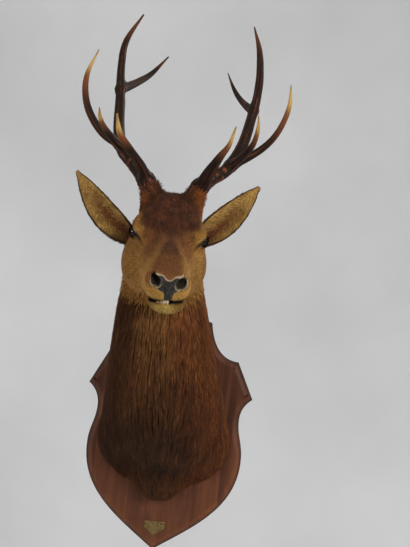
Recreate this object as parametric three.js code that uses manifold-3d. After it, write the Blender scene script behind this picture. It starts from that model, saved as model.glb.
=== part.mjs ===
// Red deer stag head mount: a shield of mahogany, the neck and head of a stag, and its ten-point antlers.
// Millimetres. X runs to the viewer's right, Y into the wall and Z up. The origin is on the back of the
// shield, on its axis, at the height of its hanging point. "Left" and "right" are the stag's own sides, so
// its left is the viewer's right.
// Most places are written as [x, out, up]: across, out from the wall, and up from the shield's bottom point.
import * as THREE from "three";
import Module from "manifold-3d";
import { mergeVertices } from "three/addons/utils/BufferGeometryUtils.js";

const wasm = await Module();
wasm.setup();

// ---------------------------------------------------------------- driving sizes
const HANG_UP = 340; // the origin's height above the shield's point
const GAP = 0.3; // clearance that touching pieces keep
const LEAST_DETAIL = 0.05; // edges that move the surface less than this are dropped

const BOARD = {
  thick: 22,
  // The right half of the outline, upwards from the point: the pulls of each curve, then its end.
  edge: [
    { pulls: [[100, 70], [223, 134]], to: [220, 272] }, // pointed arch, up to the widest place
    { pulls: [[220, 315], [203, 335]], to: [203, 378] }, // in to the waist
    { pulls: [[203, 405], [214, 425]], to: [235, 441] }, // out to the ear of the shield
    { pulls: [], to: [185, 542] }, // straight to its shoulder
    { pulls: [[114, 544]], to: [98, 646] }, // hollow
    { pulls: [[46, 661]], to: [0, 664] }, // arched top
  ],
  curveSteps: 6,
  // The moulded edge: inset from the outline and height above the back.
  moulding: [
    [0, 0],
    [0, 11],
    [3, 13],
    [8, 19],
    [17, 22],
  ],
};
const LABEL = { width: 57, side: 17, height: 38, top: 78, thick: 1.6, bevel: 0.8 };

// The head's own frame: F forward along the face, R to the viewer's right, U up from the face.
const HEAD = {
  eyes: [2.5, 470, 815], // the point midway between the eyes
  slope: 30, // degrees that F falls towards the nose
  yaw: 10, // degrees that the nose turns to the viewer's right
  roll: -1, // degrees
};

// The neck is a row of oval sections, square to an axis that climbs at this angle.
const NECK = {
  climb: 58,
  first: 130, // where along the axis the first section stands
  step: 160,
  front: [-90, 0, 30, 8, -55, -150],
  back: [-330, -325, -303, -275, -266, -232],
  half: [172, 177, 156, 130, 104, 84],
  shift: [0, -2, -8, -18, -27, -24],
  end: 950,
  endBlend: 70, // how softly the top of the neck rounds off
  squareness: 2.25,
};
const HEAD_BLEND = 54; // how softly the head runs into the neck

// Rounded masses of the flesh, [across, out, up] with their radii and the width of the blend.
const BASE_LOBES = [
  { at: [-2, 34, 232], radii: [88, 86, 96], blend: 22 }, // brisket
  { at: [-112, 30, 304], radii: [74, 74, 90], blend: 26 }, // shoulders
  { at: [108, 30, 304], radii: [74, 74, 90], blend: 26 },
];

// Masses of the head in its own frame, [F, R, U]; a pair stands on both sides.
const HEAD_BALLS = [
  { at: [-78, 0, 0], radii: [100, 74, 68], blend: 26 }, // braincase
  { at: [-40, 0, 22], radii: [62, 62, 34], blend: 24 }, // forehead
  { at: [-14, 63, 10], radii: [38, 27, 19], blend: 28, pair: true }, // brow
  { at: [-4, 56, -16], radii: [34, 30, 22], blend: 18, pair: true }, // under the eye
  { at: [-26, 50, -84], radii: [84, 54, 76], blend: 30, pair: true }, // cheek
  { at: [196, 28, -36], radii: [52, 26, 25], blend: 20, pair: true }, // lip pads
  { at: [232, 26, -13], radii: [25, 24, 21], blend: 12, pair: true }, // nostril wings
  { at: [232, 0, -34], radii: [24, 32, 27], blend: 12 }, // lip front
  { at: [206, 5, -77], radii: [36, 41, 22], blend: 20 }, // chin
];
const HEAD_BARS = [
  { from: [20, 0, -10], to: [120, 0, -12], r0: 42, r1: 30, blend: 24 }, // bridge
  { from: [110, 0, -14], to: [222, 0, -16], r0: 31, r1: 27, blend: 20 }, // muzzle
  { from: [24, 30, -52], to: [140, 22, -42], r0: 40, r1: 30, blend: 26, pair: true }, // side of the face
  { from: [-40, 40, -118], to: [110, 24, -80], r0: 36, r1: 25, blend: 24, pair: true }, // jaw
  { from: [100, 16, -76], to: [196, 8, -70], r0: 25, r1: 20, blend: 16, pair: true }, // jaw's front
  { from: [-108, 43, 30], to: [-128, 57, 66], r0: 30, r1: 24, blend: 24, pair: true }, // pedicle
];

const EYE = { at: [0, 79, -2], radius: 17 };
const NOSE_PAD = { at: [262, 2, -17], radii: [20.3, 46, 25] };
const NOSTRIL = { at: [262, 27, -13], radii: [15, 11, 8], turn: 40 };
const MOUTH = { front: [275, -60], corner: [-8, -91], gape: 0.6 }; // the line of the lips, [F, U]
const MUZZLE_FROM = 107; // F where the muzzle begins
const EGG = { around: 12, down: 8 }; // facets of the eyes, the nose pad and the nostrils
// How finely the skin is laid out in rings.
const RINGS = {
  sides: 34,
  base: { out: BOARD.thick + GAP, up: 350, tilt: 0, x: 0 },
  throat: { out: 305, up: 796, tilt: 34, x: -16 },
  neck: 11,
  nodTilts: [24, 14, 3, -2, -7, -12, -17, -23], // planes that fan about the throat, over the nape
  nodReach: 118, // from the throat to the middle of those rings
  nodShift: -14,
  face: { start: -22, stop: 226, spacing: 14, startDrop: -48, stopDrop: -34 },
  tipLifts: [15, 30, 45, 60, 75, 85], // degrees that the last rings turn forward over the lips
};
const REACH = { limit: 420, stride: 6, halvings: 14 }; // the search for the skin along a ray
const THROAT = [376, 698]; // [out, up] just outside the notch between the jaw and the neck
const NAPE_TILT = 3; // the head parts from the neck on a plane through the throat, at this tilt
const SHOULDER_CUT = 430; // along the neck's axis

// Ears: root and tip, [across, out, up], and the way the hollow faces.
const EARS = {
  right: { root: [-71, 368, 794], tip: [-260, 384, 968], faces: [-0.25, 1, 0.1], half: 42.5, bow: 18 },
  left: { root: [34, 342, 805], tip: [200, 318, 986], faces: [0.35, 1, 0.1], half: 43.5, bow: -11 },
};
const EAR_SHAPE = {
  half: [0.5, 0.7, 0.92, 1, 0.98, 0.86, 0.67, 0.42, 0.1], // of the widest half width, root to tip
  wrap: [2.3, 1.9, 1.5, 1.2, 1.05, 0.9, 0.75, 0.6, 0.5], // half angle of the rolled leaf, radians
  root: 8, // thickness
  tip: 4.5,
  dish: 0.6, // how far the roll's centre stands in front of the ear's line, in radii
  stations: 10,
  sides: 7,
};

// Antlers: the beam and the tines that leave it, [across, out, up] with a radius at each point.
const ANTLERS = {
  right: {
    beam: [
      [-62, 410, 925, 19.5],
      [-75, 404, 952, 22],
      [-106, 388, 988, 18],
      [-155, 355, 1040, 17],
      [-178, 318, 1097, 15],
      [-197, 262, 1200, 13],
      [-218, 200, 1310, 10.5],
      [-222, 158, 1404, 8.5],
      [-186, 140, 1492, 3],
    ],
    cuts: [0.42, 0.66],
    tines: {
      brow: [
        [-80, 404, 957, 16],
        [-86, 452, 977, 12.5],
        [-111, 528, 1005, 9.5],
        [-127, 565, 1027, 7.5],
        [-133, 592, 1062, 2.5],
      ],
      bez: [
        [-146, 362, 1034, 12],
        [-169, 422, 1047, 9.5],
        [-186, 480, 1064, 7],
        [-189, 512, 1076, 5],
        [-187, 540, 1089, 2],
      ],
      trez: [
        [-163, 335, 1056, 13],
        [-209, 378, 1074, 10.5],
        [-244, 420, 1125, 9],
        [-252, 440, 1190, 7],
        [-232, 430, 1271, 2],
      ],
      crown: [
        [-204, 246, 1232, 13],
        [-177, 168, 1281, 10.5],
        [-149, 98, 1336, 7.5],
        [-112, 62, 1403, 2.5],
      ],
    },
  },
  left: {
    beam: [
      [42, 384, 925, 20],
      [50, 379, 952, 22],
      [76, 362, 984, 18.5],
      [110, 338, 1015, 16],
      [141, 305, 1084, 15],
      [159, 250, 1195, 13],
      [165, 228, 1247, 11.5],
      [166, 203, 1315, 10.5],
      [155, 160, 1408, 8],
      [133, 140, 1482, 2.5],
    ],
    cuts: [0.42, 0.62],
    tines: {
      brow: [
        [57, 378, 957, 18.5],
        [74, 425, 979, 15],
        [105, 492, 1011, 9.5],
        [124, 518, 1033, 6],
        [137, 542, 1071, 2.5],
      ],
      bez: [
        [120, 330, 1029, 11.5],
        [152, 395, 1040, 9.5],
        [178, 455, 1060, 7],
        [186, 485, 1089, 5],
        [185, 502, 1114, 2],
      ],
      trez: [
        [122, 326, 1032, 12],
        [194, 348, 1075, 9],
        [232, 385, 1113, 7.5],
        [254, 408, 1172, 6],
        [253, 411, 1229, 2],
      ],
      crown: [
        [160, 240, 1205, 12],
        [125, 170, 1251, 8.5],
        [95, 116, 1302, 6],
        [68, 76, 1364, 2],
      ],
    },
  },
};
const ANTLER_SIDES = 8;
const ANTLER_STEP = 30; // between the rings of a sweep

const COLOURS = {
  wood: 0x4a281d,
  brass: 0x8f7a45,
  mane: 0x6b3a1e,
  coat: 0x8a5c32,
  nose: 0x23272b,
  glass: 0x120c08,
  antler: 0x4b2d1c,
};

const deg = THREE.MathUtils.degToRad;

// ---------------------------------------------------------------- frames
function headAxes() {
  const slope = deg(HEAD.slope);
  const yaw = deg(HEAD.yaw);
  const roll = deg(HEAD.roll);
  // [across, out, up]
  const forward = new THREE.Vector3(
    Math.sin(yaw) * Math.cos(slope),
    Math.cos(yaw) * Math.cos(slope),
    -Math.sin(slope),
  );
  const side = new THREE.Vector3(Math.cos(yaw), -Math.sin(yaw), 0);
  const upward = new THREE.Vector3(
    Math.sin(yaw) * Math.sin(slope),
    Math.cos(yaw) * Math.sin(slope),
    Math.cos(slope),
  );
  const right = side.clone().multiplyScalar(Math.cos(roll)).addScaledVector(upward, Math.sin(roll));
  const up = upward.clone().multiplyScalar(Math.cos(roll)).addScaledVector(side, -Math.sin(roll));
  return { forward, right, up };
}
const AXES = headAxes();
const EYES = new THREE.Vector3(...HEAD.eyes);

// A point of the head's frame, as [across, out, up].
function fromHead(f, r, u) {
  return EYES.clone()
    .addScaledVector(AXES.forward, f)
    .addScaledVector(AXES.right, r)
    .addScaledVector(AXES.up, u);
}
function toHead(p) {
  const d = p.clone().sub(EYES);
  return new THREE.Vector3(d.dot(AXES.forward), d.dot(AXES.right), d.dot(AXES.up));
}
// [across, out, up] to the part's X, Y, Z above the shield's point.
function toRow(p) {
  return new THREE.Vector3(p.x, -p.y, p.z);
}

// ---------------------------------------------------------------- the flesh as one rounded form
function smoothMin(a, b, k) {
  const h = Math.max(k - Math.abs(a - b), 0) / k;
  return Math.min(a, b) - (h * h * k) / 4;
}
function ballDistance(p, at, radii) {
  const x = (p.x - at[0]) / radii[0];
  const y = (p.y - at[1]) / radii[1];
  const z = (p.z - at[2]) / radii[2];
  const k0 = Math.hypot(x, y, z);
  const k1 = Math.hypot(x / radii[0], y / radii[1], z / radii[2]);
  return k1 < 1e-9 ? -Math.min(...radii) : (k0 * (k0 - 1)) / k1;
}
function barDistance(p, bar) {
  const a = new THREE.Vector3(...bar.from);
  const along = new THREE.Vector3(...bar.to).sub(a);
  const q = p.clone().sub(a);
  const t = THREE.MathUtils.clamp(q.dot(along) / along.lengthSq(), 0, 1);
  return q.addScaledVector(along, -t).length() - THREE.MathUtils.lerp(bar.r0, bar.r1, t);
}
// A smooth curve through evenly spaced values, held level past its ends.
function curveAt(values, s) {
  const last = values.length - 1;
  const t = THREE.MathUtils.clamp(s, 0, last);
  const i = Math.min(Math.floor(t), last - 1);
  const v = (j) => values[THREE.MathUtils.clamp(j, 0, last)];
  const f = t - i;
  const m0 = (v(i + 1) - v(i - 1)) / 2;
  const m1 = (v(i + 2) - v(i)) / 2;
  const a = 2 * f ** 3 - 3 * f ** 2 + 1;
  const b = f ** 3 - 2 * f ** 2 + f;
  return a * v(i) + b * m0 + (1 - a) * v(i + 1) + (f ** 3 - f ** 2) * m1;
}
function neckDistance(p) {
  const climb = deg(NECK.climb);
  const t = p.y * Math.cos(climb) + p.z * Math.sin(climb);
  const n = p.y * Math.sin(climb) - p.z * Math.cos(climb);
  const s = (t - NECK.first) / NECK.step;
  const front = curveAt(NECK.front, s);
  const back = curveAt(NECK.back, s);
  const half = curveAt(NECK.half, s);
  const depth = (front - back) / 2;
  const e = NECK.squareness;
  const across = Math.abs(p.x - curveAt(NECK.shift, s)) / half;
  const through = Math.abs(n - (front + back) / 2) / depth;
  const round = (across ** e + through ** e) ** (1 / e);
  const side = (round - 1) * Math.min(half, depth);
  return -smoothMin(-side, NECK.end - t, NECK.endBlend);
}
function fleshDistance(p) {
  let d = neckDistance(p);
  for (const lobe of BASE_LOBES) d = smoothMin(d, ballDistance(p, lobe.at, lobe.radii), lobe.blend);
  const h = toHead(p);
  let head = 1e9;
  for (const ball of HEAD_BALLS) {
    const q = ball.pair ? new THREE.Vector3(h.x, Math.abs(h.y), h.z) : h;
    head = smoothMin(head, ballDistance(q, ball.at, ball.radii), ball.blend);
  }
  for (const bar of HEAD_BARS) {
    const q = bar.pair ? new THREE.Vector3(h.x, Math.abs(h.y), h.z) : h;
    head = smoothMin(head, barDistance(q, bar), bar.blend);
  }
  return smoothMin(d, head, HEAD_BLEND);
}
// How far the skin lies from a centre, along a direction.
function reach(centre, direction) {
  const inside = (s) => fleshDistance(centre.clone().addScaledVector(direction, s)) < 0;
  let far = 0;
  while (far < REACH.limit && inside(far)) far += REACH.stride;
  let near = Math.max(far - REACH.stride, 0);
  for (let i = 0; i < REACH.halvings; i++) {
    const middle = (near + far) / 2;
    if (inside(middle)) near = middle;
    else far = middle;
  }
  return (near + far) / 2;
}

// ---------------------------------------------------------------- solids
function solidFrom(geometry) {
  const g = geometry.clone();
  for (const name of Object.keys(g.attributes)) if (name !== "position") g.deleteAttribute(name);
  const merged = mergeVertices(g, 1e-4);
  return new wasm.Manifold(
    new wasm.Mesh({
      numProp: 3,
      vertProperties: new Float32Array(merged.attributes.position.array),
      triVerts: new Uint32Array(merged.index.array),
    }),
  );
}
function geometryOf(solid) {
  const mesh = solid.getMesh();
  const g = new THREE.BufferGeometry();
  g.setAttribute("position", new THREE.BufferAttribute(new Float32Array(mesh.vertProperties), 3));
  g.setIndex(Array.from(mesh.triVerts));
  g.computeVertexNormals();
  return g;
}
function largest(solid) {
  return solid.decompose().reduce((a, b) => (a.volume() > b.volume() ? a : b));
}
// Closed skin over rings of points, each ring with the same count; the ends are closed by fans.
function ringMesh(rings) {
  const count = rings[0].length;
  const points = rings.flat();
  const index = [];
  for (let i = 0; i + 1 < rings.length; i++)
    for (let j = 0; j < count; j++) {
      const a = i * count + j;
      const b = i * count + ((j + 1) % count);
      index.push(a, b, a + count, b, b + count, a + count);
    }
  const middle = (ring) =>
    ring.reduce((sum, p) => sum.add(p), new THREE.Vector3()).divideScalar(ring.length);
  const first = points.push(middle(rings[0])) - 1;
  const last = points.push(middle(rings[rings.length - 1])) - 1;
  const end = (rings.length - 1) * count;
  for (let j = 0; j < count; j++) {
    const k = (j + 1) % count;
    index.push(first, k, j, last, end + j, end + k);
  }
  const g = new THREE.BufferGeometry().setFromPoints(points);
  g.setIndex(index);
  return g;
}

// ---------------------------------------------------------------- the skin's rings
// Each station is a section of the flesh: its centre and the tilt of its plane, from the board to the lips.
function neckStations() {
  const { base, throat, neck } = RINGS;
  const list = [];
  for (let i = 0; i <= neck; i++) {
    const t = i / neck;
    const at = (key) => THREE.MathUtils.lerp(base[key], throat[key], t);
    list.push({
      centre: new THREE.Vector3(at("x"), at("out"), at("up")),
      tilt: THREE.MathUtils.lerp(base.tilt, throat.tilt, Math.sin((t * Math.PI) / 2)),
      yaw: 0,
    });
  }
  return list;
}
// A plane through the throat, and how much of the head's turn it has.
function nodStation(tilt) {
  const angle = deg(tilt);
  const centre = new THREE.Vector3(
    HEAD.eyes[0] + RINGS.nodShift,
    THROAT[0] - RINGS.nodReach * Math.sin(angle),
    THROAT[1] + RINGS.nodReach * Math.cos(angle),
  );
  return { centre, tilt, yaw: (HEAD.yaw * (HEAD.slope - tilt)) / (2 * HEAD.slope) };
}
function headStations() {
  const { start, stop, spacing, startDrop, stopDrop } = RINGS.face;
  const list = RINGS.nodTilts.map(nodStation);
  for (let f = start; f <= stop; f += spacing) {
    const drop = THREE.MathUtils.mapLinear(f, start, stop, startDrop, stopDrop);
    list.push({ centre: fromHead(f, 0, drop), tilt: -HEAD.slope, yaw: HEAD.yaw });
  }
  return list;
}
function facing(station) {
  const tilt = deg(station.tilt);
  const yaw = deg(station.yaw);
  return new THREE.Vector3(
    Math.sin(yaw) * Math.cos(tilt),
    Math.cos(yaw) * Math.cos(tilt),
    Math.sin(tilt),
  );
}
function ring(station, grow, lift = 0) {
  const normal = facing(station);
  const yaw = deg(station.yaw);
  const side = new THREE.Vector3(Math.cos(yaw), -Math.sin(yaw), 0);
  const up = new THREE.Vector3().crossVectors(side, normal);
  const points = [];
  for (let j = 0; j < RINGS.sides; j++) {
    const angle = (j / RINGS.sides) * 2 * Math.PI;
    const direction = side
      .clone()
      .multiplyScalar(Math.cos(angle) * Math.cos(lift))
      .addScaledVector(up, Math.sin(angle) * Math.cos(lift))
      .addScaledVector(normal, Math.sin(lift));
    const r = reach(station.centre, direction) + grow;
    points.push(toRow(station.centre.clone().addScaledVector(direction, r)));
  }
  return points;
}
function fleshMesh(grow) {
  const stations = [...neckStations(), ...headStations()];
  const rings = stations.map((station) => ring(station, grow));
  const lips = stations[stations.length - 1];
  for (const lift of RINGS.tipLifts) rings.push(ring(lips, grow, deg(lift)));
  return ringMesh(rings);
}

// ---------------------------------------------------------------- parting the flesh
function planeThrough(point, direction) {
  const normal = toRow(direction);
  return { normal: normal.toArray(), offset: normal.dot(toRow(point)) };
}
function ahead(solid, plane, clearance = GAP / 2) {
  return solid.trimByPlane(plane.normal, plane.offset + clearance);
}
function behind(solid, plane, clearance = GAP / 2) {
  const back = plane.normal.map((v) => -v);
  return solid.trimByPlane(back, -plane.offset + clearance);
}
function headBox(low, high) {
  const size = high.map((v, i) => v - low[i]);
  const middle = high.map((v, i) => (v + low[i]) / 2);
  const box = new THREE.BoxGeometry(...size);
  box.applyMatrix4(headPlacement(middle));
  return solidFrom(box);
}
function headPlacement(at) {
  const turn = new THREE.Matrix4().makeBasis(toRow(AXES.forward), toRow(AXES.right), toRow(AXES.up));
  return turn.setPosition(toRow(fromHead(...at)));
}
// An egg in the head's frame, rolled about F.
function headEgg(at, radii, roll = 0, grow = 0) {
  const egg = new THREE.SphereGeometry(1, EGG.around, EGG.down);
  egg.scale(...radii.map((r) => r + grow));
  egg.rotateX(roll);
  egg.applyMatrix4(headPlacement(at));
  return solidFrom(egg);
}
// Everything under the line of the lips, back to the throat.
function jawRegion(clearance) {
  const low = [MOUTH.corner[0] + clearance, -200, -320];
  const high = [400, 200, 60];
  const [f0, u0] = MOUTH.corner;
  const [f1, u1] = MOUTH.front;
  const lipNormal = AXES.up
    .clone()
    .multiplyScalar(f1 - f0)
    .addScaledVector(AXES.forward, u0 - u1)
    .normalize();
  return behind(headBox(low, high), planeThrough(fromHead(f1, 0, u1), lipNormal), clearance);
}

function fleshPieces() {
  const whole = solidFrom(fleshMesh(0));
  const climb = deg(NECK.climb);
  const axis = new THREE.Vector3(0, Math.cos(climb), Math.sin(climb));
  const shoulderPlane = planeThrough(axis.clone().multiplyScalar(SHOULDER_CUT), axis);
  // head parts from neck on a plane through the throat
  const nape = nodStation(NAPE_TILT);
  const napePlane = planeThrough(nape.centre, facing(nape));
  const muzzlePlane = planeThrough(fromHead(MUZZLE_FROM, 0, 0), AXES.forward);

  const trunk = behind(whole, napePlane);
  let skull = ahead(whole, napePlane);
  for (const side of [-1, 1]) {
    const [f, r, u] = EYE.at;
    skull = skull.subtract(headEgg([f, side * r, u], [EYE.radius, EYE.radius, EYE.radius], 0, GAP));
  }
  const jaw = skull.intersect(jawRegion(MOUTH.gape / 2));
  const face = skull.subtract(jawRegion(-MOUTH.gape / 2));
  let muzzle = ahead(face, muzzlePlane);
  let pad = muzzle.intersect(headEgg(NOSE_PAD.at, NOSE_PAD.radii));
  muzzle = muzzle.subtract(headEgg(NOSE_PAD.at, NOSE_PAD.radii, 0, GAP));
  for (const side of [-1, 1]) {
    const [f, r, u] = NOSTRIL.at;
    const hole = headEgg([f, side * r, u], NOSTRIL.radii, side * deg(NOSTRIL.turn));
    pad = pad.subtract(hole);
    muzzle = muzzle.subtract(hole);
  }
  return {
    shoulders: behind(trunk, shoulderPlane),
    neck: ahead(trunk, shoulderPlane),
    head: behind(face, muzzlePlane),
    muzzle,
    nose_pad: pad,
    lower_jaw: jaw,
  };
}

// ---------------------------------------------------------------- ears
function earSolid(ear) {
  const root = new THREE.Vector3(...ear.root);
  const tip = new THREE.Vector3(...ear.tip);
  const along = tip.clone().sub(root);
  const length = along.length();
  along.normalize();
  const faces = new THREE.Vector3(...ear.faces);
  faces.addScaledVector(along, -faces.dot(along)).normalize();
  const across = new THREE.Vector3().crossVectors(along, faces);
  const { stations, sides, dish } = EAR_SHAPE;
  const rings = [];
  for (let i = 0; i <= stations; i++) {
    const t = i / stations;
    const s = t * (EAR_SHAPE.half.length - 1);
    const half = curveAt(EAR_SHAPE.half, s) * ear.half;
    const wrap = curveAt(EAR_SHAPE.wrap, s);
    const thick = THREE.MathUtils.lerp(EAR_SHAPE.root, EAR_SHAPE.tip, t);
    const inner = half / wrap;
    const axis = root
      .clone()
      .addScaledVector(along, t * length)
      .addScaledVector(across, ear.bow * Math.sin(Math.PI * t));
    const points = [];
    const at = (angle, radius) =>
      toRow(
        axis
          .clone()
          .addScaledVector(across, Math.sin(angle) * radius)
          .addScaledVector(faces, inner * dish - Math.cos(angle) * radius),
      );
    for (let j = 0; j <= sides; j++) points.push(at(wrap * ((2 * j) / sides - 1), inner));
    for (let j = sides; j >= 0; j--) points.push(at(wrap * ((2 * j) / sides - 1), inner + thick));
    rings.push(points);
  }
  return facingOut(ringMesh(rings));
}
function facingOut(geometry) {
  const solid = solidFrom(geometry);
  if (solid.volume() > 0) return solid;
  const index = geometry.index.array;
  for (let i = 0; i < index.length; i += 3) [index[i], index[i + 1]] = [index[i + 1], index[i]];
  return solidFrom(geometry);
}

// ---------------------------------------------------------------- antlers
function sweep(points, grow = 0) {
  const curve = new THREE.CatmullRomCurve3(
    points.map(([x, out, up]) => toRow(new THREE.Vector3(x, out, up))),
    false,
    "centripetal",
  );
  const steps = Math.max(6, Math.round(curve.getLength() / ANTLER_STEP));
  const frames = curve.computeFrenetFrames(steps, false);
  const radii = points.map((p) => p[3]);
  const rings = [];
  for (let i = 0; i <= steps; i++) {
    const u = i / steps;
    const centre = curve.getPointAt(u);
    const r = curveAt(radii, curve.getUtoTmapping(u) * (points.length - 1)) + grow;
    const ring = [];
    for (let j = 0; j < ANTLER_SIDES; j++) {
      const angle = (j / ANTLER_SIDES) * 2 * Math.PI;
      ring.push(
        centre
          .clone()
          .addScaledVector(frames.normals[i], Math.cos(angle) * r)
          .addScaledVector(frames.binormals[i], Math.sin(angle) * r),
      );
    }
    rings.push(ring);
  }
  return { solid: facingOut(ringMesh(rings)), curve };
}
function antlerPieces(antler, flesh) {
  const pieces = {};
  const beam = sweep(antler.beam);
  const thickBeam = sweep(antler.beam, GAP).solid;
  let rest = largest(beam.solid.subtract(flesh));
  const names = ["beam_lower", "beam_middle", "beam_upper"];
  antler.cuts.forEach((u, i) => {
    const point = beam.curve.getPointAt(u);
    const normal = beam.curve.getTangentAt(u);
    const plane = { normal: normal.toArray(), offset: normal.dot(point) };
    pieces[names[i]] = largest(behind(rest, plane));
    rest = largest(ahead(rest, plane));
  });
  pieces[names[antler.cuts.length]] = rest;
  let taken = thickBeam.add(flesh);
  for (const [name, points] of Object.entries(antler.tines)) {
    pieces[name + "_tine"] = largest(sweep(points).solid.subtract(taken));
    taken = taken.add(sweep(points, GAP).solid);
  }
  return pieces;
}

// ---------------------------------------------------------------- board and label
function boardOutline() {
  const half = new THREE.Path();
  half.moveTo(0, 0);
  for (const { pulls, to } of BOARD.edge) {
    if (pulls.length === 2) half.bezierCurveTo(...pulls[0], ...pulls[1], ...to);
    else if (pulls.length === 1) half.quadraticCurveTo(...pulls[0], ...to);
    else half.lineTo(...to);
  }
  const right = half.getPoints(BOARD.curveSteps);
  const left = right
    .slice(1, -1)
    .reverse()
    .map((p) => new THREE.Vector2(-p.x, p.y));
  return [...right, ...left];
}
// The outline moved inwards by a distance, corners mitred.
function inset(outline, distance) {
  const n = outline.length;
  return outline.map((p, i) => {
    const before = p.clone().sub(outline[(i + n - 1) % n]).normalize();
    const after = outline[(i + 1) % n].clone().sub(p).normalize();
    const a = new THREE.Vector2(-before.y, before.x);
    const b = new THREE.Vector2(-after.y, after.x);
    const miter = a.add(b).normalize();
    const stretch = distance / Math.max(miter.dot(b), 0.35);
    return p.clone().addScaledVector(miter, stretch);
  });
}
// A plate whose edge follows a moulding: steps of [inset, height above the back].
function mouldedPlate(outline, moulding, back = 0) {
  const layers = moulding.map(([distance, height]) =>
    inset(outline, distance).map((p) => new THREE.Vector3(p.x, -back - height, p.y)),
  );
  const points = layers.flat();
  const n = outline.length;
  const index = [];
  for (let i = 0; i + 1 < layers.length; i++)
    for (let j = 0; j < n; j++) {
      const a = i * n + j;
      const b = i * n + ((j + 1) % n);
      index.push(a, b, a + n, b, b + n, a + n);
    }
  const top = (layers.length - 1) * n;
  const flat = (layer) => layer.map((p) => new THREE.Vector2(p.x, p.z));
  for (const [a, b, c] of THREE.ShapeUtils.triangulateShape(flat(layers[0]), []))
    index.push(a, c, b);
  for (const [a, b, c] of THREE.ShapeUtils.triangulateShape(flat(layers[layers.length - 1]), []))
    index.push(top + a, top + b, top + c);
  const g = new THREE.BufferGeometry().setFromPoints(points);
  g.setIndex(index);
  return facingOut(g);
}
function labelSolid() {
  const half = LABEL.width / 2;
  const outline = [
    [0, LABEL.top - LABEL.height],
    [half, LABEL.top - LABEL.side],
    [half, LABEL.top],
    [-half, LABEL.top],
    [-half, LABEL.top - LABEL.side],
  ].map(([x, y]) => new THREE.Vector2(x, y));
  const profile = [
    [0, 0],
    [0, LABEL.thick - LABEL.bevel],
    [LABEL.bevel, LABEL.thick],
  ];
  return mouldedPlate(outline, profile, BOARD.thick + GAP);
}

// ---------------------------------------------------------------- the whole mount
const mount = new THREE.Group();
mount.position.z = -HANG_UP;

function place(name, solid, colour, roughness = 0.8, metalness = 0) {
  const material = new THREE.MeshStandardMaterial({ color: colour, roughness, metalness });
  const mesh = new THREE.Mesh(geometryOf(solid.asOriginal().simplify(LEAST_DETAIL)), material);
  mesh.name = name;
  mount.add(mesh);
}

place("board", mouldedPlate(boardOutline(), BOARD.moulding), COLOURS.wood, 0.45);
place("label_plate", labelSolid(), COLOURS.brass, 0.4, 0.9);

const flesh = fleshPieces();
for (const [name, solid] of Object.entries(flesh)) {
  const colour = name === "nose_pad" ? COLOURS.nose : COLOURS.coat;
  place(name, largest(solid), colour);
}
const clearFlesh = solidFrom(fleshMesh(GAP));
for (const [side, ear] of Object.entries(EARS))
  place("ear_" + side, largest(earSolid(ear).subtract(clearFlesh)), COLOURS.coat);
for (const [side, sign] of [
  ["left", 1],
  ["right", -1],
]) {
  const [f, r, u] = EYE.at;
  const ball = [EYE.radius, EYE.radius, EYE.radius];
  place("eye_" + side, headEgg([f, sign * r, u], ball), COLOURS.glass, 0.05);
}
for (const [side, antler] of Object.entries(ANTLERS))
  for (const [name, solid] of Object.entries(antlerPieces(antler, clearFlesh)))
    place("antler_" + side + "_" + name, solid, COLOURS.antler, 0.6);

export default mount;
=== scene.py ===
"""Red deer stag head mount: the looks of the shield, the skin and coat, the antlers, eyes and nose.

Shapes are worked out in millimetres as [across, out, up]: across to the viewer's right, out from the
wall, and up from the shield's bottom point. to_world() turns them into metres in the row frame.
Places on the head are [forward, right, up] from the point between the eyes.
"""

import math

import bpy
import numpy as np
from mathutils import Matrix, Vector


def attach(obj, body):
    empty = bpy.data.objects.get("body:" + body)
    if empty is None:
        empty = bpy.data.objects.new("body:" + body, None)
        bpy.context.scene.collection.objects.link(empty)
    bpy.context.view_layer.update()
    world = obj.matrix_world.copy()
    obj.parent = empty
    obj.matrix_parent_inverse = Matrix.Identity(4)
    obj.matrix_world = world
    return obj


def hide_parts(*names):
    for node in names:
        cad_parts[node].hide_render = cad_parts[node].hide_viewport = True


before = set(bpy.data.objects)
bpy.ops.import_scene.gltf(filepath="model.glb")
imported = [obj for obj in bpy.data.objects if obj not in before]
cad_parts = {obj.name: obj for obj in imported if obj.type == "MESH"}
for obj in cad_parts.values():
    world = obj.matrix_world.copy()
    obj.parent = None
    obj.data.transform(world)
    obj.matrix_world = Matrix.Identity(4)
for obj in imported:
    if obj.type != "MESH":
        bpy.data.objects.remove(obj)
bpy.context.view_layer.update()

HANG_UP = 340.0  # the origin's height above the shield's point
MM = 0.001
SIDES = {"right": -1, "left": 1}  # the stag's own sides, across the head
BOARD_THICK = 22.0
SKIN_BACK = 23.6  # the skin stops here, just in front of the board
LOCKS_BACK = 22.9  # no lock reaches farther back than this

# ------------------------------------------------------------------ the flesh, as in the CAD source
# sections square to a climbing axis, from "first" on, "step" apart: how far the throat and the nape lie
# in front of the axis, half the width, and the shift to the viewer's right
NECK = {
    "climb": math.radians(58),
    "first": 130.0,
    "step": 160.0,
    "front": [-90, 0, 30, 8, -55, -150],
    "back": [-330, -325, -303, -275, -266, -232],
    "half": [172, 177, 156, 130, 104, 84],
    "shift": [0, -2, -8, -18, -27, -24],
    "end": 950.0,
    "end_blend": 70.0,
    "squareness": 2.25,
}
HEAD = {"eyes": [2.5, 470, 815], "slope": 30, "yaw": 10, "roll": -1}
HEAD_BLEND = 54.0
BASE_LOBES = [
    ([-2, 34, 232], [88, 86, 96], 22),
    ([-112, 30, 304], [74, 74, 90], 26),
    ([108, 30, 304], [74, 74, 90], 26),
]
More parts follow.
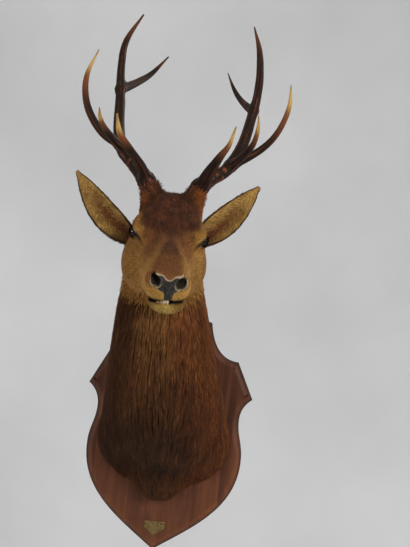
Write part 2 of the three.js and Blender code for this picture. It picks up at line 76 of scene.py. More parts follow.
# centre on the head, radii, blend, whether it stands on both sides
HEAD_BALLS = [
    ([-78, 0, 0], [100, 74, 68], 26, False),
    ([-40, 0, 22], [62, 62, 34], 24, False),
    ([-14, 63, 10], [38, 27, 19], 28, True),
    ([-4, 56, -16], [34, 30, 22], 18, True),
    ([-26, 50, -84], [84, 54, 76], 30, True),
    ([196, 28, -36], [52, 26, 25], 20, True),
    ([232, 26, -13], [25, 24, 21], 12, True),
    ([232, 0, -34], [24, 32, 27], 12, False),
    ([206, 5, -77], [36, 41, 22], 20, False),
]
# ends on the head, their radii, blend, whether it stands on both sides
HEAD_BARS = [
    ([20, 0, -10], [120, 0, -12], 42, 30, 24, False),
    ([110, 0, -14], [222, 0, -16], 31, 27, 20, False),
    ([24, 30, -52], [140, 22, -42], 40, 30, 26, True),
    ([-40, 40, -118], [110, 24, -80], 36, 25, 24, True),
    ([100, 16, -76], [196, 8, -70], 25, 20, 16, True),
    ([-108, 43, 30], [-128, 57, 66], 30, 24, 24, True),
]
EYE_AT = np.array([0.0, 79.0, -2.0])
EYE_RADIUS = 17.0


def head_axes():
    slope, yaw, roll = (math.radians(HEAD[k]) for k in ("slope", "yaw", "roll"))
    forward = np.array([math.sin(yaw) * math.cos(slope), math.cos(yaw) * math.cos(slope), -math.sin(slope)])
    side = np.array([math.cos(yaw), -math.sin(yaw), 0.0])
    upward = np.array([math.sin(yaw) * math.sin(slope), math.cos(yaw) * math.sin(slope), math.cos(slope)])
    right = math.cos(roll) * side + math.sin(roll) * upward
    up = math.cos(roll) * upward - math.sin(roll) * side
    return np.array([forward, right, up])


AXES = head_axes()
EYES = np.array(HEAD["eyes"], float)


def from_head(h):
    return EYES + np.asarray(h, float) @ AXES


def to_head(p):
    return (p - EYES) @ AXES.T


def to_world(p):
    p = np.asarray(p, float)
    return np.stack([p[:, 0], -p[:, 1], p[:, 2] - HANG_UP], 1) * MM


def mirrored(h):
    """Places on the head, brought over to one side of it."""
    return np.stack([h[:, 0], np.abs(h[:, 1]), h[:, 2]], 1)


def smooth_min(a, b, k):
    h = np.maximum(k - np.abs(a - b), 0) / k
    return np.minimum(a, b) - h * h * k / 4


def smooth_max(a, b, k):
    return -smooth_min(-a, -b, k)


def fade(low, high, x):
    t = np.clip((x - low) / (high - low), 0, 1)
    return t * t * (3 - 2 * t)


def ball(p, at, radii):
    q = (p - np.array(at)) / np.array(radii)
    k0 = np.sqrt((q * q).sum(1))
    w = q / np.array(radii)
    k1 = np.sqrt((w * w).sum(1))
    return np.where(k1 < 1e-9, -min(radii), k0 * (k0 - 1) / np.maximum(k1, 1e-9))


def bar(p, a, b, r0, r1):
    a, along = np.array(a, float), np.array(b, float) - np.array(a, float)
    q = p - a
    t = np.clip(q @ along / (along @ along), 0, 1)
    return np.sqrt(((q - t[:, None] * along) ** 2).sum(1)) - (r0 + (r1 - r0) * t)


def curve_at(values, s):
    """A smooth curve through evenly spaced values."""
    v = np.array(values, float)
    last = len(v) - 1
    t = np.clip(s, 0, last)
    i = np.minimum(np.floor(t).astype(int), last - 1)

    def at(j):
        return v[np.clip(j, 0, last)]

    f = t - i
    m0 = (at(i + 1) - at(i - 1)) / 2
    m1 = (at(i + 2) - at(i)) / 2
    a = 2 * f**3 - 3 * f**2 + 1
    b = f**3 - 2 * f**2 + f
    return a * at(i) + b * m0 + (1 - a) * at(i + 1) + (f**3 - f**2) * m1


def neck_place(p):
    """Along the neck's axis, through it towards the throat, and the section's numbers there."""
    c, s = math.cos(NECK["climb"]), math.sin(NECK["climb"])
    t = p[:, 1] * c + p[:, 2] * s
    n = p[:, 1] * s - p[:, 2] * c
    k = (t - NECK["first"]) / NECK["step"]
    front, back, half, shift = (curve_at(NECK[name], k) for name in ("front", "back", "half", "shift"))
    return t, n, (front + back) / 2, (front - back) / 2, half, shift


def neck(p):
    """Distance to the neck and shoulders alone."""
    t, n, middle, depth, half, shift = neck_place(p)
    e = NECK["squareness"]
    around = (np.abs((p[:, 0] - shift) / half) ** e + np.abs((n - middle) / depth) ** e) ** (1 / e)
    side = (around - 1) * np.minimum(half, depth)
    return -smooth_min(-side, NECK["end"] - t, NECK["end_blend"])


def flesh(p):
    """Distance to the coat's outer surface."""
    d = neck(p)
    for at, radii, blend in BASE_LOBES:
        d = smooth_min(d, ball(p, at, radii), blend)
    h = to_head(p)
    both = mirrored(h)
    head = np.full(len(p), 1e9)
    for at, radii, blend, pair in HEAD_BALLS:
        head = smooth_min(head, ball(both if pair else h, at, radii), blend)
    for a, b, r0, r1, blend, pair in HEAD_BARS:
        head = smooth_min(head, bar(both if pair else h, a, b, r0, r1), blend)
    return smooth_min(d, head, HEAD_BLEND)


def slope_of(field, p, step=0.8):
    """The field's value and gradient."""
    value = field(p)
    g = np.empty_like(p)
    for k in range(3):
        q = p.copy()
        q[:, k] += step
        g[:, k] = (field(q) - value) / step
    return value, g


def unit(v):
    return v / np.maximum(np.linalg.norm(v, axis=1, keepdims=True), 1e-9)


# ------------------------------------------------------------------ regions of the body
FACE_END = {"forward": -0.796, "up": -0.607, "away": 107.3}  # the plane from the throat to the nape


def behind_face(h):
    """Distance behind the plane where the face ends."""
    return FACE_END["forward"] * h[:, 0] + FACE_END["up"] * h[:, 2] - FACE_END["away"]


def mane_share(p):
    """0 on the face's short coat, 1 on the long mane: under the jaw it begins along a level line."""
    g = behind_face(to_head(p))
    t, n, middle, depth, _, _ = neck_place(p)
    nape = fade(-0.1, -0.7, (n - middle) / depth) * fade(-10, 50, g)
    throat = fade(750, 728, t) * fade(-10, 20, g)
    return np.maximum(nape, throat)


def crown_share(h):
    return fade(-20, -62, h[:, 0]) * fade(14, 42, h[:, 2])


# how deep the coat is on the muzzle, what the rest of the face and the crown add to that; how deep the
# mane is at the throat, and how much less at the nape
COAT = {"muzzle": 1.6, "face_adds": 1.4, "crown_adds": 3.0, "mane": 12.0, "nape_less": 4.0}


def coat_depth(p):
    h = to_head(p)
    face = COAT["muzzle"] + COAT["face_adds"] * fade(180, 40, h[:, 0]) + COAT["crown_adds"] * crown_share(h)
    _, n, middle, _, _, _ = neck_place(p)
    mane = COAT["mane"] - COAT["nape_less"] * fade(40, -60, n - middle)
    return face + (mane - face) * fade(-25, 90, behind_face(h))


NOISE_FACTORS = (374761393, 668265263, 2147483647)
NOISE_MIX = 1274126177
NOISE_SHIFT = 17.31  # how far apart the seeds lie in the noise


def noise(p, size, seed):
    """Smooth value noise in -1..1, with blobs of the given size in millimetres."""
    q = p / size + seed * NOISE_SHIFT
    base = np.floor(q).astype(np.int64)
    f = q - base
    f = f * f * (3 - 2 * f)
    total = np.zeros(len(p))
    for corner in np.ndindex(2, 2, 2):
        n = sum((base[:, k] + corner[k]) * NOISE_FACTORS[k] for k in range(3))
        n = (n ^ (n >> 13)) * NOISE_MIX & 0xFFFFFFFF
        value = ((n ^ (n >> 16)) & 0xFFFF) / 32767.5 - 1
        x, y, z = (f[:, k] if corner[k] else 1 - f[:, k] for k in range(3))
        total += value * (x * y * z)
    return total


# ------------------------------------------------------------------ eyes, mouth and nose in the skin
def eye_frame(side):
    """Centre of an eyeball and its own axes: the way it looks, along the slit, across the slit."""
    centre = from_head([EYE_AT[0], side * EYE_AT[1], EYE_AT[2]])
    look = np.array([0.55, side * 0.80, 0.16]) @ AXES
    look /= np.linalg.norm(look)
    corner = np.array([0.78, -side * 0.42, -0.46]) @ AXES
    slit = corner - look * (corner @ look)
    slit /= np.linalg.norm(slit)
    return centre, look, slit, side * np.cross(look, slit)


def in_eye(p, side):
    """Places in an eye's own axes, from the middle of the eyeball."""
    centre, look, slit, over = eye_frame(side)
    e = p - centre
    return np.stack([e @ look, e @ slit, e @ over], 1)


# the lids over the eyeball, the gap between them and the fold over the upper one: places and radii run
# along the way the eye looks, along the slit and across it
LID = {"over": 2.4, "blend": 8.0, "clear": 0.5, "edge": 2.5}
OPENING = {"at": [19, 2.2, -1.5], "radii": [15, 18.4, 9.8]}
FOLD = {"above": 3, "half": 1.2, "depth": 0.9, "at": [10, 0, 13], "radii": [18, 17, 7]}
TEAR_SLIT = {"from": [19, 75, -5], "to": [37, 63, -14], "radius": 2.8}
NOSTRILS = {"at": [256, 27.5, -9], "radii": [15, 13.8, 10.6], "lean": 32}
MOUTH = {"gape": 2.9, "depth": 13, "from": 165, "tilt": 0.09}
MOUTH_LINE = ([-8, 190, 250, 290], [-91, -73, -57, -48])  # along the face, and how high the lips meet


def eye_opening(e, grow=0.0):
    """Distance to the gap between the lids, from places in the eye's own axes."""
    return ball(e, OPENING["at"], [r + grow for r in OPENING["radii"]])


def mouth_height(h):
    """Height over the line where the lips meet."""
    return h[:, 2] - np.interp(h[:, 0], *MOUTH_LINE) - MOUTH["tilt"] * h[:, 1]


def nostril(h, outer, grow=0.0):
    """Distance to a nostril, from places on the head and their distance to the coat's surface."""
    lean = math.radians(NOSTRILS["lean"])
    f0, r0, u0 = NOSTRILS["at"]
    f, r, u = h[:, 0] - f0, np.abs(h[:, 1]) - r0, h[:, 2] - u0
    long = u * math.cos(lean) + r * math.sin(lean)
    wide = r * math.cos(lean) - u * math.sin(lean)
    pit = ball(np.stack([outer, long, wide], 1), [0, 0, 0], [v + grow for v in NOSTRILS["radii"]])
    inner = ball(np.stack([f, r, u], 1), [-18, -5, 2], [20 + grow, 7 + grow, 7 + grow])
    return np.where(np.abs(f) < 45, smooth_min(pit, inner, 4), 99.0)


SKIN_LUMPS = ((0.5, 26, 3), (0.25, 9, 4))  # their height, size and seed
NEAR_SKIN = 45  # lumps, eyes, mouth and nostrils are worked out only this near to the skin


def skin(p):
    """Distance to the bare skin under the coat, with its lids, mouth and nostrils."""
    outer = flesh(p)
    d = outer + coat_depth(p)
    near = np.abs(d) < NEAR_SKIN
    q, v = p[near], d[near]
    h = to_head(q)
    for height, size, seed in SKIN_LUMPS:
        v = v + height * noise(q, size, seed)
    for side in SIDES.values():
        at = in_eye(q, side)
        r = np.sqrt((at * at).sum(1))
        v = smooth_min(v, r - EYE_RADIUS - LID["over"], LID["blend"])
        v = smooth_max(v, -eye_opening(at), LID["edge"])
        v = smooth_max(v, -(r - EYE_RADIUS - LID["clear"]), 0.6)
        # groove over the upper lid
        groove = np.abs(r - EYE_RADIUS - LID["over"] - FOLD["above"]) - FOLD["half"]
        v = v + FOLD["depth"] * fade(4, 0, np.maximum(groove, -ball(at, FOLD["at"], FOLD["radii"])))
    v = smooth_max(v, -bar(mirrored(h), TEAR_SLIT["from"], TEAR_SLIT["to"], TEAR_SLIT["radius"], 1.0), 3)
    lips = np.abs(mouth_height(h)) - MOUTH["gape"] * fade(MOUTH["from"], MOUTH["from"] + 60, h[:, 0])
    cut = np.maximum(np.maximum(lips, -outer[near] - MOUTH["depth"]), MOUTH["from"] - h[:, 0])
    v = smooth_max(v, -cut, 2.2)
    d[near] = smooth_max(v, -nostril(h, outer[near], 1.0), 2.0)
    return np.maximum(d, SKIN_BACK - p[:, 1])


# ------------------------------------------------------------------ fields to meshes
def spaced(*runs):
    """Places of grid planes: a first value, then runs of (end, spacing)."""
    planes = [runs[0]]
    for end, spacing in runs[1:]:
        n = max(1, int(round((end - planes[-1]) / spacing)))
        planes.extend(np.linspace(planes[-1], end, n + 1)[1:])
    return np.array(planes)


def neighbours(grid, axis):
    """A grid without its last and without its first plane across an axis."""
    return np.delete(grid, -1, axis), np.delete(grid, 0, axis)


def sample(field, axes, stride=4):
    """The field on a grid, worked out only near its surface."""
    shape = tuple(len(a) for a in axes)
    picks = [np.unique(np.append(np.arange(0, n, stride), n - 1)) for n in shape]
    coarse_axes = [a[p] for a, p in zip(axes, picks)]
    grid = np.stack(np.meshgrid(*coarse_axes, indexing="ij"), -1).reshape(-1, 3)
    coarse = field(grid).reshape([len(a) for a in coarse_axes])
    nearest = [np.searchsorted(p, np.arange(n), side="right") - 1 for p, n in zip(picks, shape)]
    nearest = [np.minimum(k, len(p) - 2) for k, p in zip(nearest, picks)]
    reach = math.sqrt(sum(max(np.diff(a)) ** 2 for a in coarse_axes))
    low = np.abs(coarse)
    for axis in range(3):
        low = np.minimum(*neighbours(low, axis))
    wanted = (low < reach)[np.ix_(*nearest)]
    values = coarse[np.ix_(*nearest)].astype(np.float32)
    where = np.argwhere(wanted)
    points = np.stack([axes[k][where[:, k]] for k in range(3)], 1)
    for i in range(0, len(points), 400000):
        part = slice(i, i + 400000)
        values[tuple(where[part].T)] = field(points[part])
    return values


def surface_nets(values, axes):
    """Vertices and quads of the zero surface, faces pointing out in the row's mirrored frame."""
    inside = values < 0
    count = np.zeros([n - 1 for n in values.shape], np.uint8)
    for corner in np.ndindex(2, 2, 2):
        count += inside[tuple(slice(c, c + n) for c, n in zip(corner, count.shape))]
    cells = np.argwhere((count > 0) & (count < 8))
    number = np.full(count.shape, -1, np.int32)
    number[tuple(cells.T)] = np.arange(len(cells))
    total = np.zeros((len(cells), 3))
    hits = np.zeros(len(cells))
    for axis in range(3):
        u, v = [k for k in range(3) if k != axis]
        for a, b in np.ndindex(2, 2):
            low = cells.copy()
            low[:, u] += a
            low[:, v] += b
            high = low.copy()
            high[:, axis] += 1
            d0, d1 = values[tuple(low.T)], values[tuple(high.T)]
            cross = (d0 < 0) != (d1 < 0)
            lo, hi = low[cross], high[cross]
            t = d0[cross] / (d0[cross] - d1[cross])
            point = np.stack([axes[k][lo[:, k]] for k in range(3)], 1)
            point[:, axis] += t * (axes[axis][hi[:, axis]] - axes[axis][lo[:, axis]])
            total[cross] += point
            hits[cross] += 1
    verts = total / hits[:, None]
    quads = []
    for axis in range(3):
        u, v = (axis + 1) % 3, (axis + 2) % 3
        before, after = neighbours(inside, axis)
        edges = np.argwhere(before != after)
        ok = (edges[:, u] > 0) & (edges[:, v] > 0)
        ok &= (edges[:, u] < values.shape[u] - 1) & (edges[:, v] < values.shape[v] - 1)
        edges = edges[ok]
        ring = []
        for du, dv in ((-1, -1), (0, -1), (0, 0), (-1, 0)):
            c = edges.copy()
            c[:, u] += du
            c[:, v] += dv
            ring.append(number[tuple(c.T)])
        quad = np.stack(ring, 1)
        starts_inside = inside[tuple(edges.T)]
        quad[starts_inside] = quad[starts_inside][:, ::-1]
        quads.append(quad)
    return verts, np.concatenate(quads)


def smooth_mesh(verts, quads, amount):
    """Each vertex drawn once towards the middle of its neighbours."""
    a = quads.ravel()
    b = np.roll(quads, -1, axis=1).ravel()
    total = np.zeros_like(verts)
    count = np.zeros(len(verts))
    for i, j in ((a, b), (b, a)):
        for k in range(3):
            total[:, k] += np.bincount(i, verts[j, k], len(verts))
        count += np.bincount(i, minlength=len(verts))
    return verts + amount * (total / np.maximum(count, 1)[:, None] - verts)


def add_object(name, data):
    """A new object in the scene, around a mesh, a light or a camera."""
    obj = bpy.data.objects.new(name, data)
    bpy.context.scene.collection.objects.link(obj)
    return obj


def make_object(name, verts, faces):
    """verts in millimetres [across, out, up]; faces an array of quads or triangles, or a list."""
    mesh = bpy.data.meshes.new(name)
    points = to_world(verts)
    if isinstance(faces, np.ndarray):
        n, k = faces.shape
        mesh.vertices.add(len(points))
        mesh.vertices.foreach_set("co", points.astype(np.float32).ravel())
        mesh.loops.add(n * k)
        mesh.loops.foreach_set("vertex_index", faces.astype(np.int32).ravel())
        mesh.polygons.add(n)
        mesh.polygons.foreach_set("loop_start", np.arange(0, n * k, k, dtype=np.int32))
        mesh.update(calc_edges=True)
    else:
        mesh.from_pydata(points.tolist(), [], faces)
    mesh.polygons.foreach_set("use_smooth", np.ones(len(mesh.polygons), bool))
    mesh.validate()
    return add_object(name, mesh)


def face_out(obj):
    """Turns the faces of one closed mesh outwards."""
    mesh = obj.data
    co = np.empty(len(mesh.vertices) * 3)
    mesh.vertices.foreach_get("co", co)
    co = co.reshape(-1, 3)
    mesh.calc_loop_triangles()
    tri = np.empty(len(mesh.loop_triangles) * 3, np.int32)
    mesh.loop_triangles.foreach_get("vertices", tri)
    a, b, c = (co[tri.reshape(-1, 3)[:, k]] for k in range(3))
    if (a * np.cross(b, c)).sum() < 0:
        mesh.flip_normals()
    return obj


def ring_faces(rings, count):
    """Quads between rings of count points that follow one another in a list of vertices."""
    first = np.arange(rings - 1)[:, None] * count
    j = np.arange(count)[None, :]
    k = (j + 1) % count
    return np.stack([first + j, first + k, first + k + count, first + j + count], -1).reshape(-1, 4)


def set_colour(obj, colours, name="tone"):
    """A colour for each vertex, which the materials read by this name."""
    layer = obj.data.color_attributes.new(name, "FLOAT_COLOR", "POINT")
    rgba = np.ones((len(colours), 4), np.float32)
    rgba[:, : colours.shape[1]] = colours
    layer.data.foreach_set("color", rgba.ravel())


def set_uv(obj, uv):
    """uv for each face corner."""
    layer = obj.data.uv_layers.new(name="OFBake")
    layer.data.foreach_set("uv", uv.astype(np.float32).ravel())


# ------------------------------------------------------------------ the unwrap that all the coat shares
BODY_U = (0.01, 0.80)
EAR_U = (0.85, 0.99)
BODY_TURN = BODY_U[1] - BODY_U[0] - 0.02  # once around the body
SPINE = {"first": 100.0, "length": 1190.0, "head": 960.0}
HEAD_CORE = {"up": -45, "radius": 60}  # the line that the unwrap turns about


def unwrap(p):
    """Around the body and along its spine, from the board to the lips, both in 0..1."""
    h = to_head(p)
    t, n, middle, depth, half, shift = neck_place(p)
    g = behind_face(h)
    w = fade(-30, 30, g)
    neck_turn = np.stack([(n - middle) / depth, (p[:, 0] - shift) / half], 1)
    head_turn = np.stack([HEAD_CORE["up"] - h[:, 2], h[:, 1]], 1) / HEAD_CORE["radius"]
    # the seam runs under the chin and down the throat
    turn = -(w[:, None] * unit(neck_turn) + (1 - w[:, None]) * unit(head_turn))
    angle = np.arctan2(turn[:, 1], turn[:, 0])
    along = w * t + (1 - w) * (SPINE["head"] - g)
    u = BODY_U[0] + BODY_TURN * (angle / (2 * math.pi) + 0.5)
    return np.stack([u, (along - SPINE["first"]) / SPINE["length"]], 1)


def corner_uv(uv, faces):
    """uv for each corner, with the faces that cross the seam kept whole."""
    corners = uv[faces]
    u = corners[:, :, 0]
    wraps = (u.max(1) - u.min(1)) > BODY_TURN / 2
    u[wraps] = np.where(u[wraps] < BODY_U[0] + BODY_TURN / 2, u[wraps] + BODY_TURN, u[wraps])
    return corners


# ------------------------------------------------------------------ markings, with painted light and shade among them
def paint(r, g, b):
    """An sRGB colour of 0..255 as linear light."""
    c = np.array([r, g, b]) / 255
    return np.where(c <= 0.04045, c / 12.92, ((c + 0.055) / 1.055) ** 2.4)


TAN = paint(160, 117, 61)
JOWL = paint(158, 112, 56)
NAPE = paint(98, 61, 35)
CHEEK = paint(136, 92, 46)
UPPER = paint(126, 80, 46)
GOLD = paint(178, 136, 68)
FOREHEAD = paint(84, 50, 33)
FOREHEAD_DARK = paint(48, 31, 24)
FOREHEAD_RED = paint(122, 70, 40)
RUST = paint(114, 66, 38)
STRIPE = paint(82, 50, 36)
BROW = paint(166, 122, 58)
CHIN = paint(166, 138, 74)
SIDE = paint(138, 78, 36)
DARK = paint(17, 13, 11)
TEAR = paint(54, 44, 34)
NOSTRIL = paint(48, 40, 31)
CREAM = paint(214, 192, 156)
MANE = paint(82, 48, 26)
# the mane's red-brown, laid only on the viewer's right side as painted light
MANE_RED_LIT = paint(124, 70, 36)
MANE_GOLD = paint(150, 104, 54)
MANE_DARK = paint(46, 29, 18)
EAR_RIM = paint(58, 40, 28)


def mix(a, b, t):
    """Colours a drawn towards b; t gives the share of b at each point."""
    return a + (b - a) * np.clip(t, 0, 1)[:, None]


def spot(h, at, radii, soft=0.5):
    """1 inside an egg on either side of the head, 0 outside it."""
    r = np.sqrt((((mirrored(h) - np.array(at)) / np.array(radii)) ** 2).sum(1))
    return fade(1 + soft / 2, 1 - soft / 2, r)


def face_colour(p, h):
    """Markings of the head's short coat, for points p that lie at h on the head, with painted light on the
    viewer's right cheek and painted shade on the chin.
    """
    f, r, u = h[:, 0], np.abs(h[:, 1]), h[:, 2]
    patchy = noise(p, 30, 11) * 0.6 + noise(p, 12, 12) * 0.4
    streaky = noise(h * np.array([0.35, 1, 1]), 7, 13)
    c = mix(TAN, CHEEK, fade(90, -60, f + 40 * patchy))
    c = mix(c, CHEEK, fade(0.1, 0.9, patchy + 0.5 * streaky) * 0.6)
    c = mix(c, RUST, fade(0.2, 0.9, -patchy + 0.4 * streaky) * 0.35)
    # painted light: gold drawn onto the viewer's right cheek only, the side the key light falls on
    c = mix(c, GOLD, fade(20, 70, h[:, 1]) * fade(-20, 50, f) * 0.35)
    # brown between the eyes and down beside the blaze
    between = fade(72, 44, r + 8 * patchy) * fade(150, 90, f) * fade(-50, -14, u)
    c = mix(c, UPPER, between * 0.85)
    c = mix(c, GOLD, fade(150, 222, f + 8 * patchy) * fade(-6, -26, u) * 0.8)
    # the dark blaze: broad between the eyes, narrow below them, wide again and redder down the muzzle
    width = np.interp(f, [30, 55, 85, 110, 140, 175, 240], [36, 17, 11, 17, 26, 34, 44])
    middle = np.interp(f, [140, 240], [0, -4])
    top = fade(width + 12, width - 11, np.abs(h[:, 1] - middle) + 8 * patchy + 3 * streaky)
    top = top * fade(-34, -6, u) * fade(20, 44, f)
    c = mix(c, STRIPE, top * fade(200, 135, f) * 0.9)
    c = mix(c, RUST, top * fade(125, 180, f) * 0.85)
    c = mix(c, STRIPE, spot(h, [62, 32, 12], [20, 15, 14], 1.2) * 0.5)
    c = mix(c, STRIPE, spot(h, [28, 56, 8], [12, 10, 14], 1.2) * 0.4)
    # the forehead, out to the pedicles' red-brown sides
    edge = np.interp(r, [0, 30, 50, 62], [46, 34, 24, 12])
    rise = fade(12, 20, u) * fade(edge + 10, edge - 9, f + 12 * patchy)
    wide = fade(76, 64, r + 6 * patchy)
    curly = noise(p, 9, 14) * 0.6 + noise(p, 4.5, 16) * 0.4
    wool = mix(FOREHEAD, FOREHEAD_RED, fade(0.1, 0.7, curly) * 0.5)
    wool = mix(wool, FOREHEAD_DARK, fade(-0.05, -0.55, curly) * 0.85)
    wool = mix(wool, FOREHEAD_DARK, fade(-40, -90, f) * fade(50, 20, r) * 0.6)
    c = mix(c, wool, np.clip(rise * wide + fade(-60, -90, f) * fade(10, 30, u), 0, 1))
    c = mix(c, SIDE, spot(h, [-104, 74, 60], [42, 19, 34], 0.9) * np.clip(0.5 + 0.9 * patchy, 0, 1))
    c = mix(c, NAPE, fade(-60, 20, behind_face(h) + 12 * patchy) * fade(-30, 15, u))
    c = mix(c, JOWL, fade(-30, 10, behind_face(h)) * fade(-5, -40, u + 8 * patchy) * 0.85)
    c = mix(c, RUST, fade(95, 150, behind_face(h) + 14 * patchy) * 0.6)
    # pale hair over each eye and at its inner corner
    hairy = np.clip(0.62 + 0.7 * streaky + 0.3 * patchy, 0.1, 1)
    c = mix(c, BROW, spot(h, [8, 78, 17], [28, 10, 11], 1.0) * 0.7 * hairy)
    c = mix(c, BROW, spot(h, [26, 66, 7], [13, 8, 9], 1.0) * 0.6 * hairy)
    under = fade(2, -5, mouth_height(h)) * fade(120, 165, f)
    c = mix(c, mix(CHIN, GOLD, 0.3 + patchy), under)
    # painted shade: the chin darkened towards its sides and along its underside
    c = mix(c, CHEEK * 0.6, under * fade(14, 32, r + 4 * patchy) * 0.65)
    return mix(c, CHEEK * 0.5, under * fade(-84, -100, u + 5 * patchy) * 0.85)


def neck_colour(p):
    """Markings of the mane, streaked the way it hangs, with painted light on the viewer's right side and
    painted shade on the left.
    """
    t, n, middle, depth, half, shift = neck_place(p)
    front = fade(-0.3, 0.75, (n - middle) / depth)
    across = (p[:, 0] - shift) / half
    streak = np.stack([p[:, 0] / 8, n / 8, t / 60], 1)
    line = noise(streak, 1.0, 21) * 0.55 + noise(streak * 2.3, 1.0, 22) * 0.45
    broad = noise(p * np.array([1, 1, 0.45]), 42, 23)
    # painted light: red-brown drawn over the viewer's right side
    m = mix(MANE, MANE_RED_LIT, fade(0.05, 0.8, across + 0.2 * line) * 0.72)
    # painted shade: the viewer's left side darkened
    m = mix(m, MANE_DARK, fade(-0.2, -0.9, across) * 0.35)
    middle_gold = fade(0.62, 0.15, np.abs(across)) * fade(440, 700, t)
    m = mix(m, MANE_GOLD, front * middle_gold * 0.34)
    low = fade(560, 380, t + 70 * line - 60 * across) * fade(160, 300, t)
    m = mix(m, MANE_DARK, low * 0.6)
    # painted light: more red-brown on the viewer's right, low and high on the neck
    m = mix(m, MANE_RED_LIT, fade(0.35, 0.95, across) * fade(620, 420, t) * 0.6)
    m = mix(m, MANE_RED_LIT, fade(0.15, 0.7, across) * fade(610, 700, t) * 0.6)
    m = mix(m, MANE_DARK, fade(0.1, 0.8, broad) * 0.5)
    m = mix(m, MANE_GOLD, fade(0.15, 0.8, line) * (0.14 + 0.36 * fade(380, 700, t)))
    m = mix(m, MANE_DARK, fade(0.0, -0.6, line) * 0.7)
    return mix(m, MANE_DARK, (1 - front) * fade(0.5, 0.0, np.abs(across)) * 0.45)


def coat_colour(p):
    """The markings that skin and coat share, with the painted light and shade of face_colour and
    neck_colour and a painted highlight on each upper lid.
    """
    h = to_head(p)
    f, u = h[:, 0], h[:, 2]
    share = fade(0.2, 0.8, mane_share(p) + 0.3 * noise(p, 14, 12))
    c = mix(face_colour(p, h), neck_colour(p), share)
    # dark skin round the eyes with a painted highlight along each upper lid's edge, tear slits, lips; pale
    # rims of the nostrils
    for side in SIDES.values():
        at = in_eye(p, side)
        rim = eye_opening(at)
        c = mix(c, DARK, fade(6.0, 4.2, rim))
        # painted highlight: a pale line along the upper lid's edge, where its rim catches the light
        lid_highlight = fade(2.0, 2.8, rim) * fade(4.6, 3.8, rim) * fade(0, 3, at[:, 2])
        c = mix(c, CREAM * 0.55, lid_highlight * fade(-8, 2, at[:, 1]) * 0.8)
    both = mirrored(h)
    c = mix(c, TEAR, fade(4.5, 0.5, bar(both, TEAR_SLIT["from"], TEAR_SLIT["to"], 3.6, 1.0)) * 0.8)
    c = mix(c, DARK, fade(2.0, 0.0, bar(both, TEAR_SLIT["from"], TEAR_SLIT["to"], 2.0, 0.6)) * 0.9)
    height = mouth_height(h)
    lips = fade(6.4, 4.2, np.where(height > 0, height * 0.9, -height * 1.05))
    c = mix(c, DARK, lips * fade(MOUTH["from"] - 4, MOUTH["from"] + 16, f))
    c = mix(c, CREAM * 0.6, fade(1.6, 0.6, np.abs(pad_region(h))) * fade(-34, -26, u) * 0.35)
    return mix(c, NOSTRIL, fade(2.4, 1.2, nostril(h, flesh(p))))


# ------------------------------------------------------------------ ears
# "map_from": where an ear's patch begins in the unwrap
EARS = {
    "right": {
        "root": [-71, 368, 794],
        "tip": [-260, 384, 968],
        "faces": [-0.25, 1, 0.1],
        "half": 42.5,
        "bow": 18,
        "seed": 13,
        "map_from": 0.05,
    },
    "left": {
        "root": [34, 342, 805],
        "tip": [200, 318, 986],
        "faces": [0.35, 1, 0.1],
        "half": 43.5,
        "bow": -11,
        "seed": 14,
        "map_from": 0.55,
    },
}
EAR_SHAPE = {
    "half": [0.5, 0.7, 0.92, 1, 0.98, 0.86, 0.67, 0.42, 0.1],
    "wrap": [2.3, 1.9, 1.5, 1.2, 1.05, 0.9, 0.75, 0.6, 0.5],
    "root": 8.0,
    "tip": 4.5,
    "dish": 0.6,
    "coat": 1.2,
}


def ear_point(ear, t, s, outer):
    """A place on an ear: t root to tip, s -1..1 across it, outer 0 in the hollow to 1 on the back."""
    root, tip = np.array(ear["root"], float), np.array(ear["tip"], float)
    length = np.linalg.norm(tip - root)
    along = (tip - root) / length
    faces = np.array(ear["faces"], float)
    faces = faces - along * (faces @ along)
    faces /= np.linalg.norm(faces)
    across = np.cross(along, faces)
    k = t * (len(EAR_SHAPE["half"]) - 1)
    half = curve_at(EAR_SHAPE["half"], k) * ear["half"] - EAR_SHAPE["coat"]
    wrap = curve_at(EAR_SHAPE["wrap"], k)
    thick = EAR_SHAPE["root"] + (EAR_SHAPE["tip"] - EAR_SHAPE["root"]) * t
    inner = half / wrap
    edge = np.clip(1 - np.abs(s) ** 6, 0.12, 1)
    ridges = 0.9 * np.sin(s * 9) * np.clip(1 - t, 0, 1) * (1 - outer)
    radius = inner + EAR_SHAPE["coat"] * (1 - outer) + (thick - EAR_SHAPE["coat"]) * outer * edge + ridges
    axis = root + np.outer(t * length, along) + np.outer(ear["bow"] * np.sin(math.pi * t), across)
    angle = wrap * s
    point = axis + across * (np.sin(angle) * radius)[:, None]
    return point + faces * (inner * EAR_SHAPE["dish"] - np.cos(angle) * radius)[:, None]


def ear_colour(t, s, outer):
    """Yellow-tan hollow with a red-brown middle and a dark rim; brown back."""
    mottle = noise(np.stack([t * 14, s * 5, np.ones(len(t))], 1), 1.0, 31)
    c = mix(paint(172, 138, 76), paint(140, 104, 56), 0.5 + 0.6 * mottle)
    middle = fade(0.8, 0.1, np.abs(s + 0.15 + 0.25 * mottle)) * fade(0.88, 0.4, t)
    c = mix(c, paint(94, 48, 27), middle * 0.95)
    c = mix(c, paint(84, 50, 32), fade(0.40, 0.05, t + 0.1 * mottle) * 0.85)
    c = mix(c, EAR_RIM, fade(0.945, 0.99, np.abs(s)) * 0.85)
    c = mix(c, EAR_RIM, fade(0.965, 0.995, t))
    back = mix(paint(118, 78, 46), paint(80, 50, 32), 0.5 + 0.5 * mottle)
    return mix(c, mix(back, EAR_RIM, fade(0.85, 0.98, np.abs(s)) * 0.85), outer)


def ear_map(t, s, outer):
    """The hollow and the back side by side, both 0..1 from root to tip."""
    return np.stack([s * 0.25 + np.where(outer > 0.5, 0.75, 0.25), t], 1)


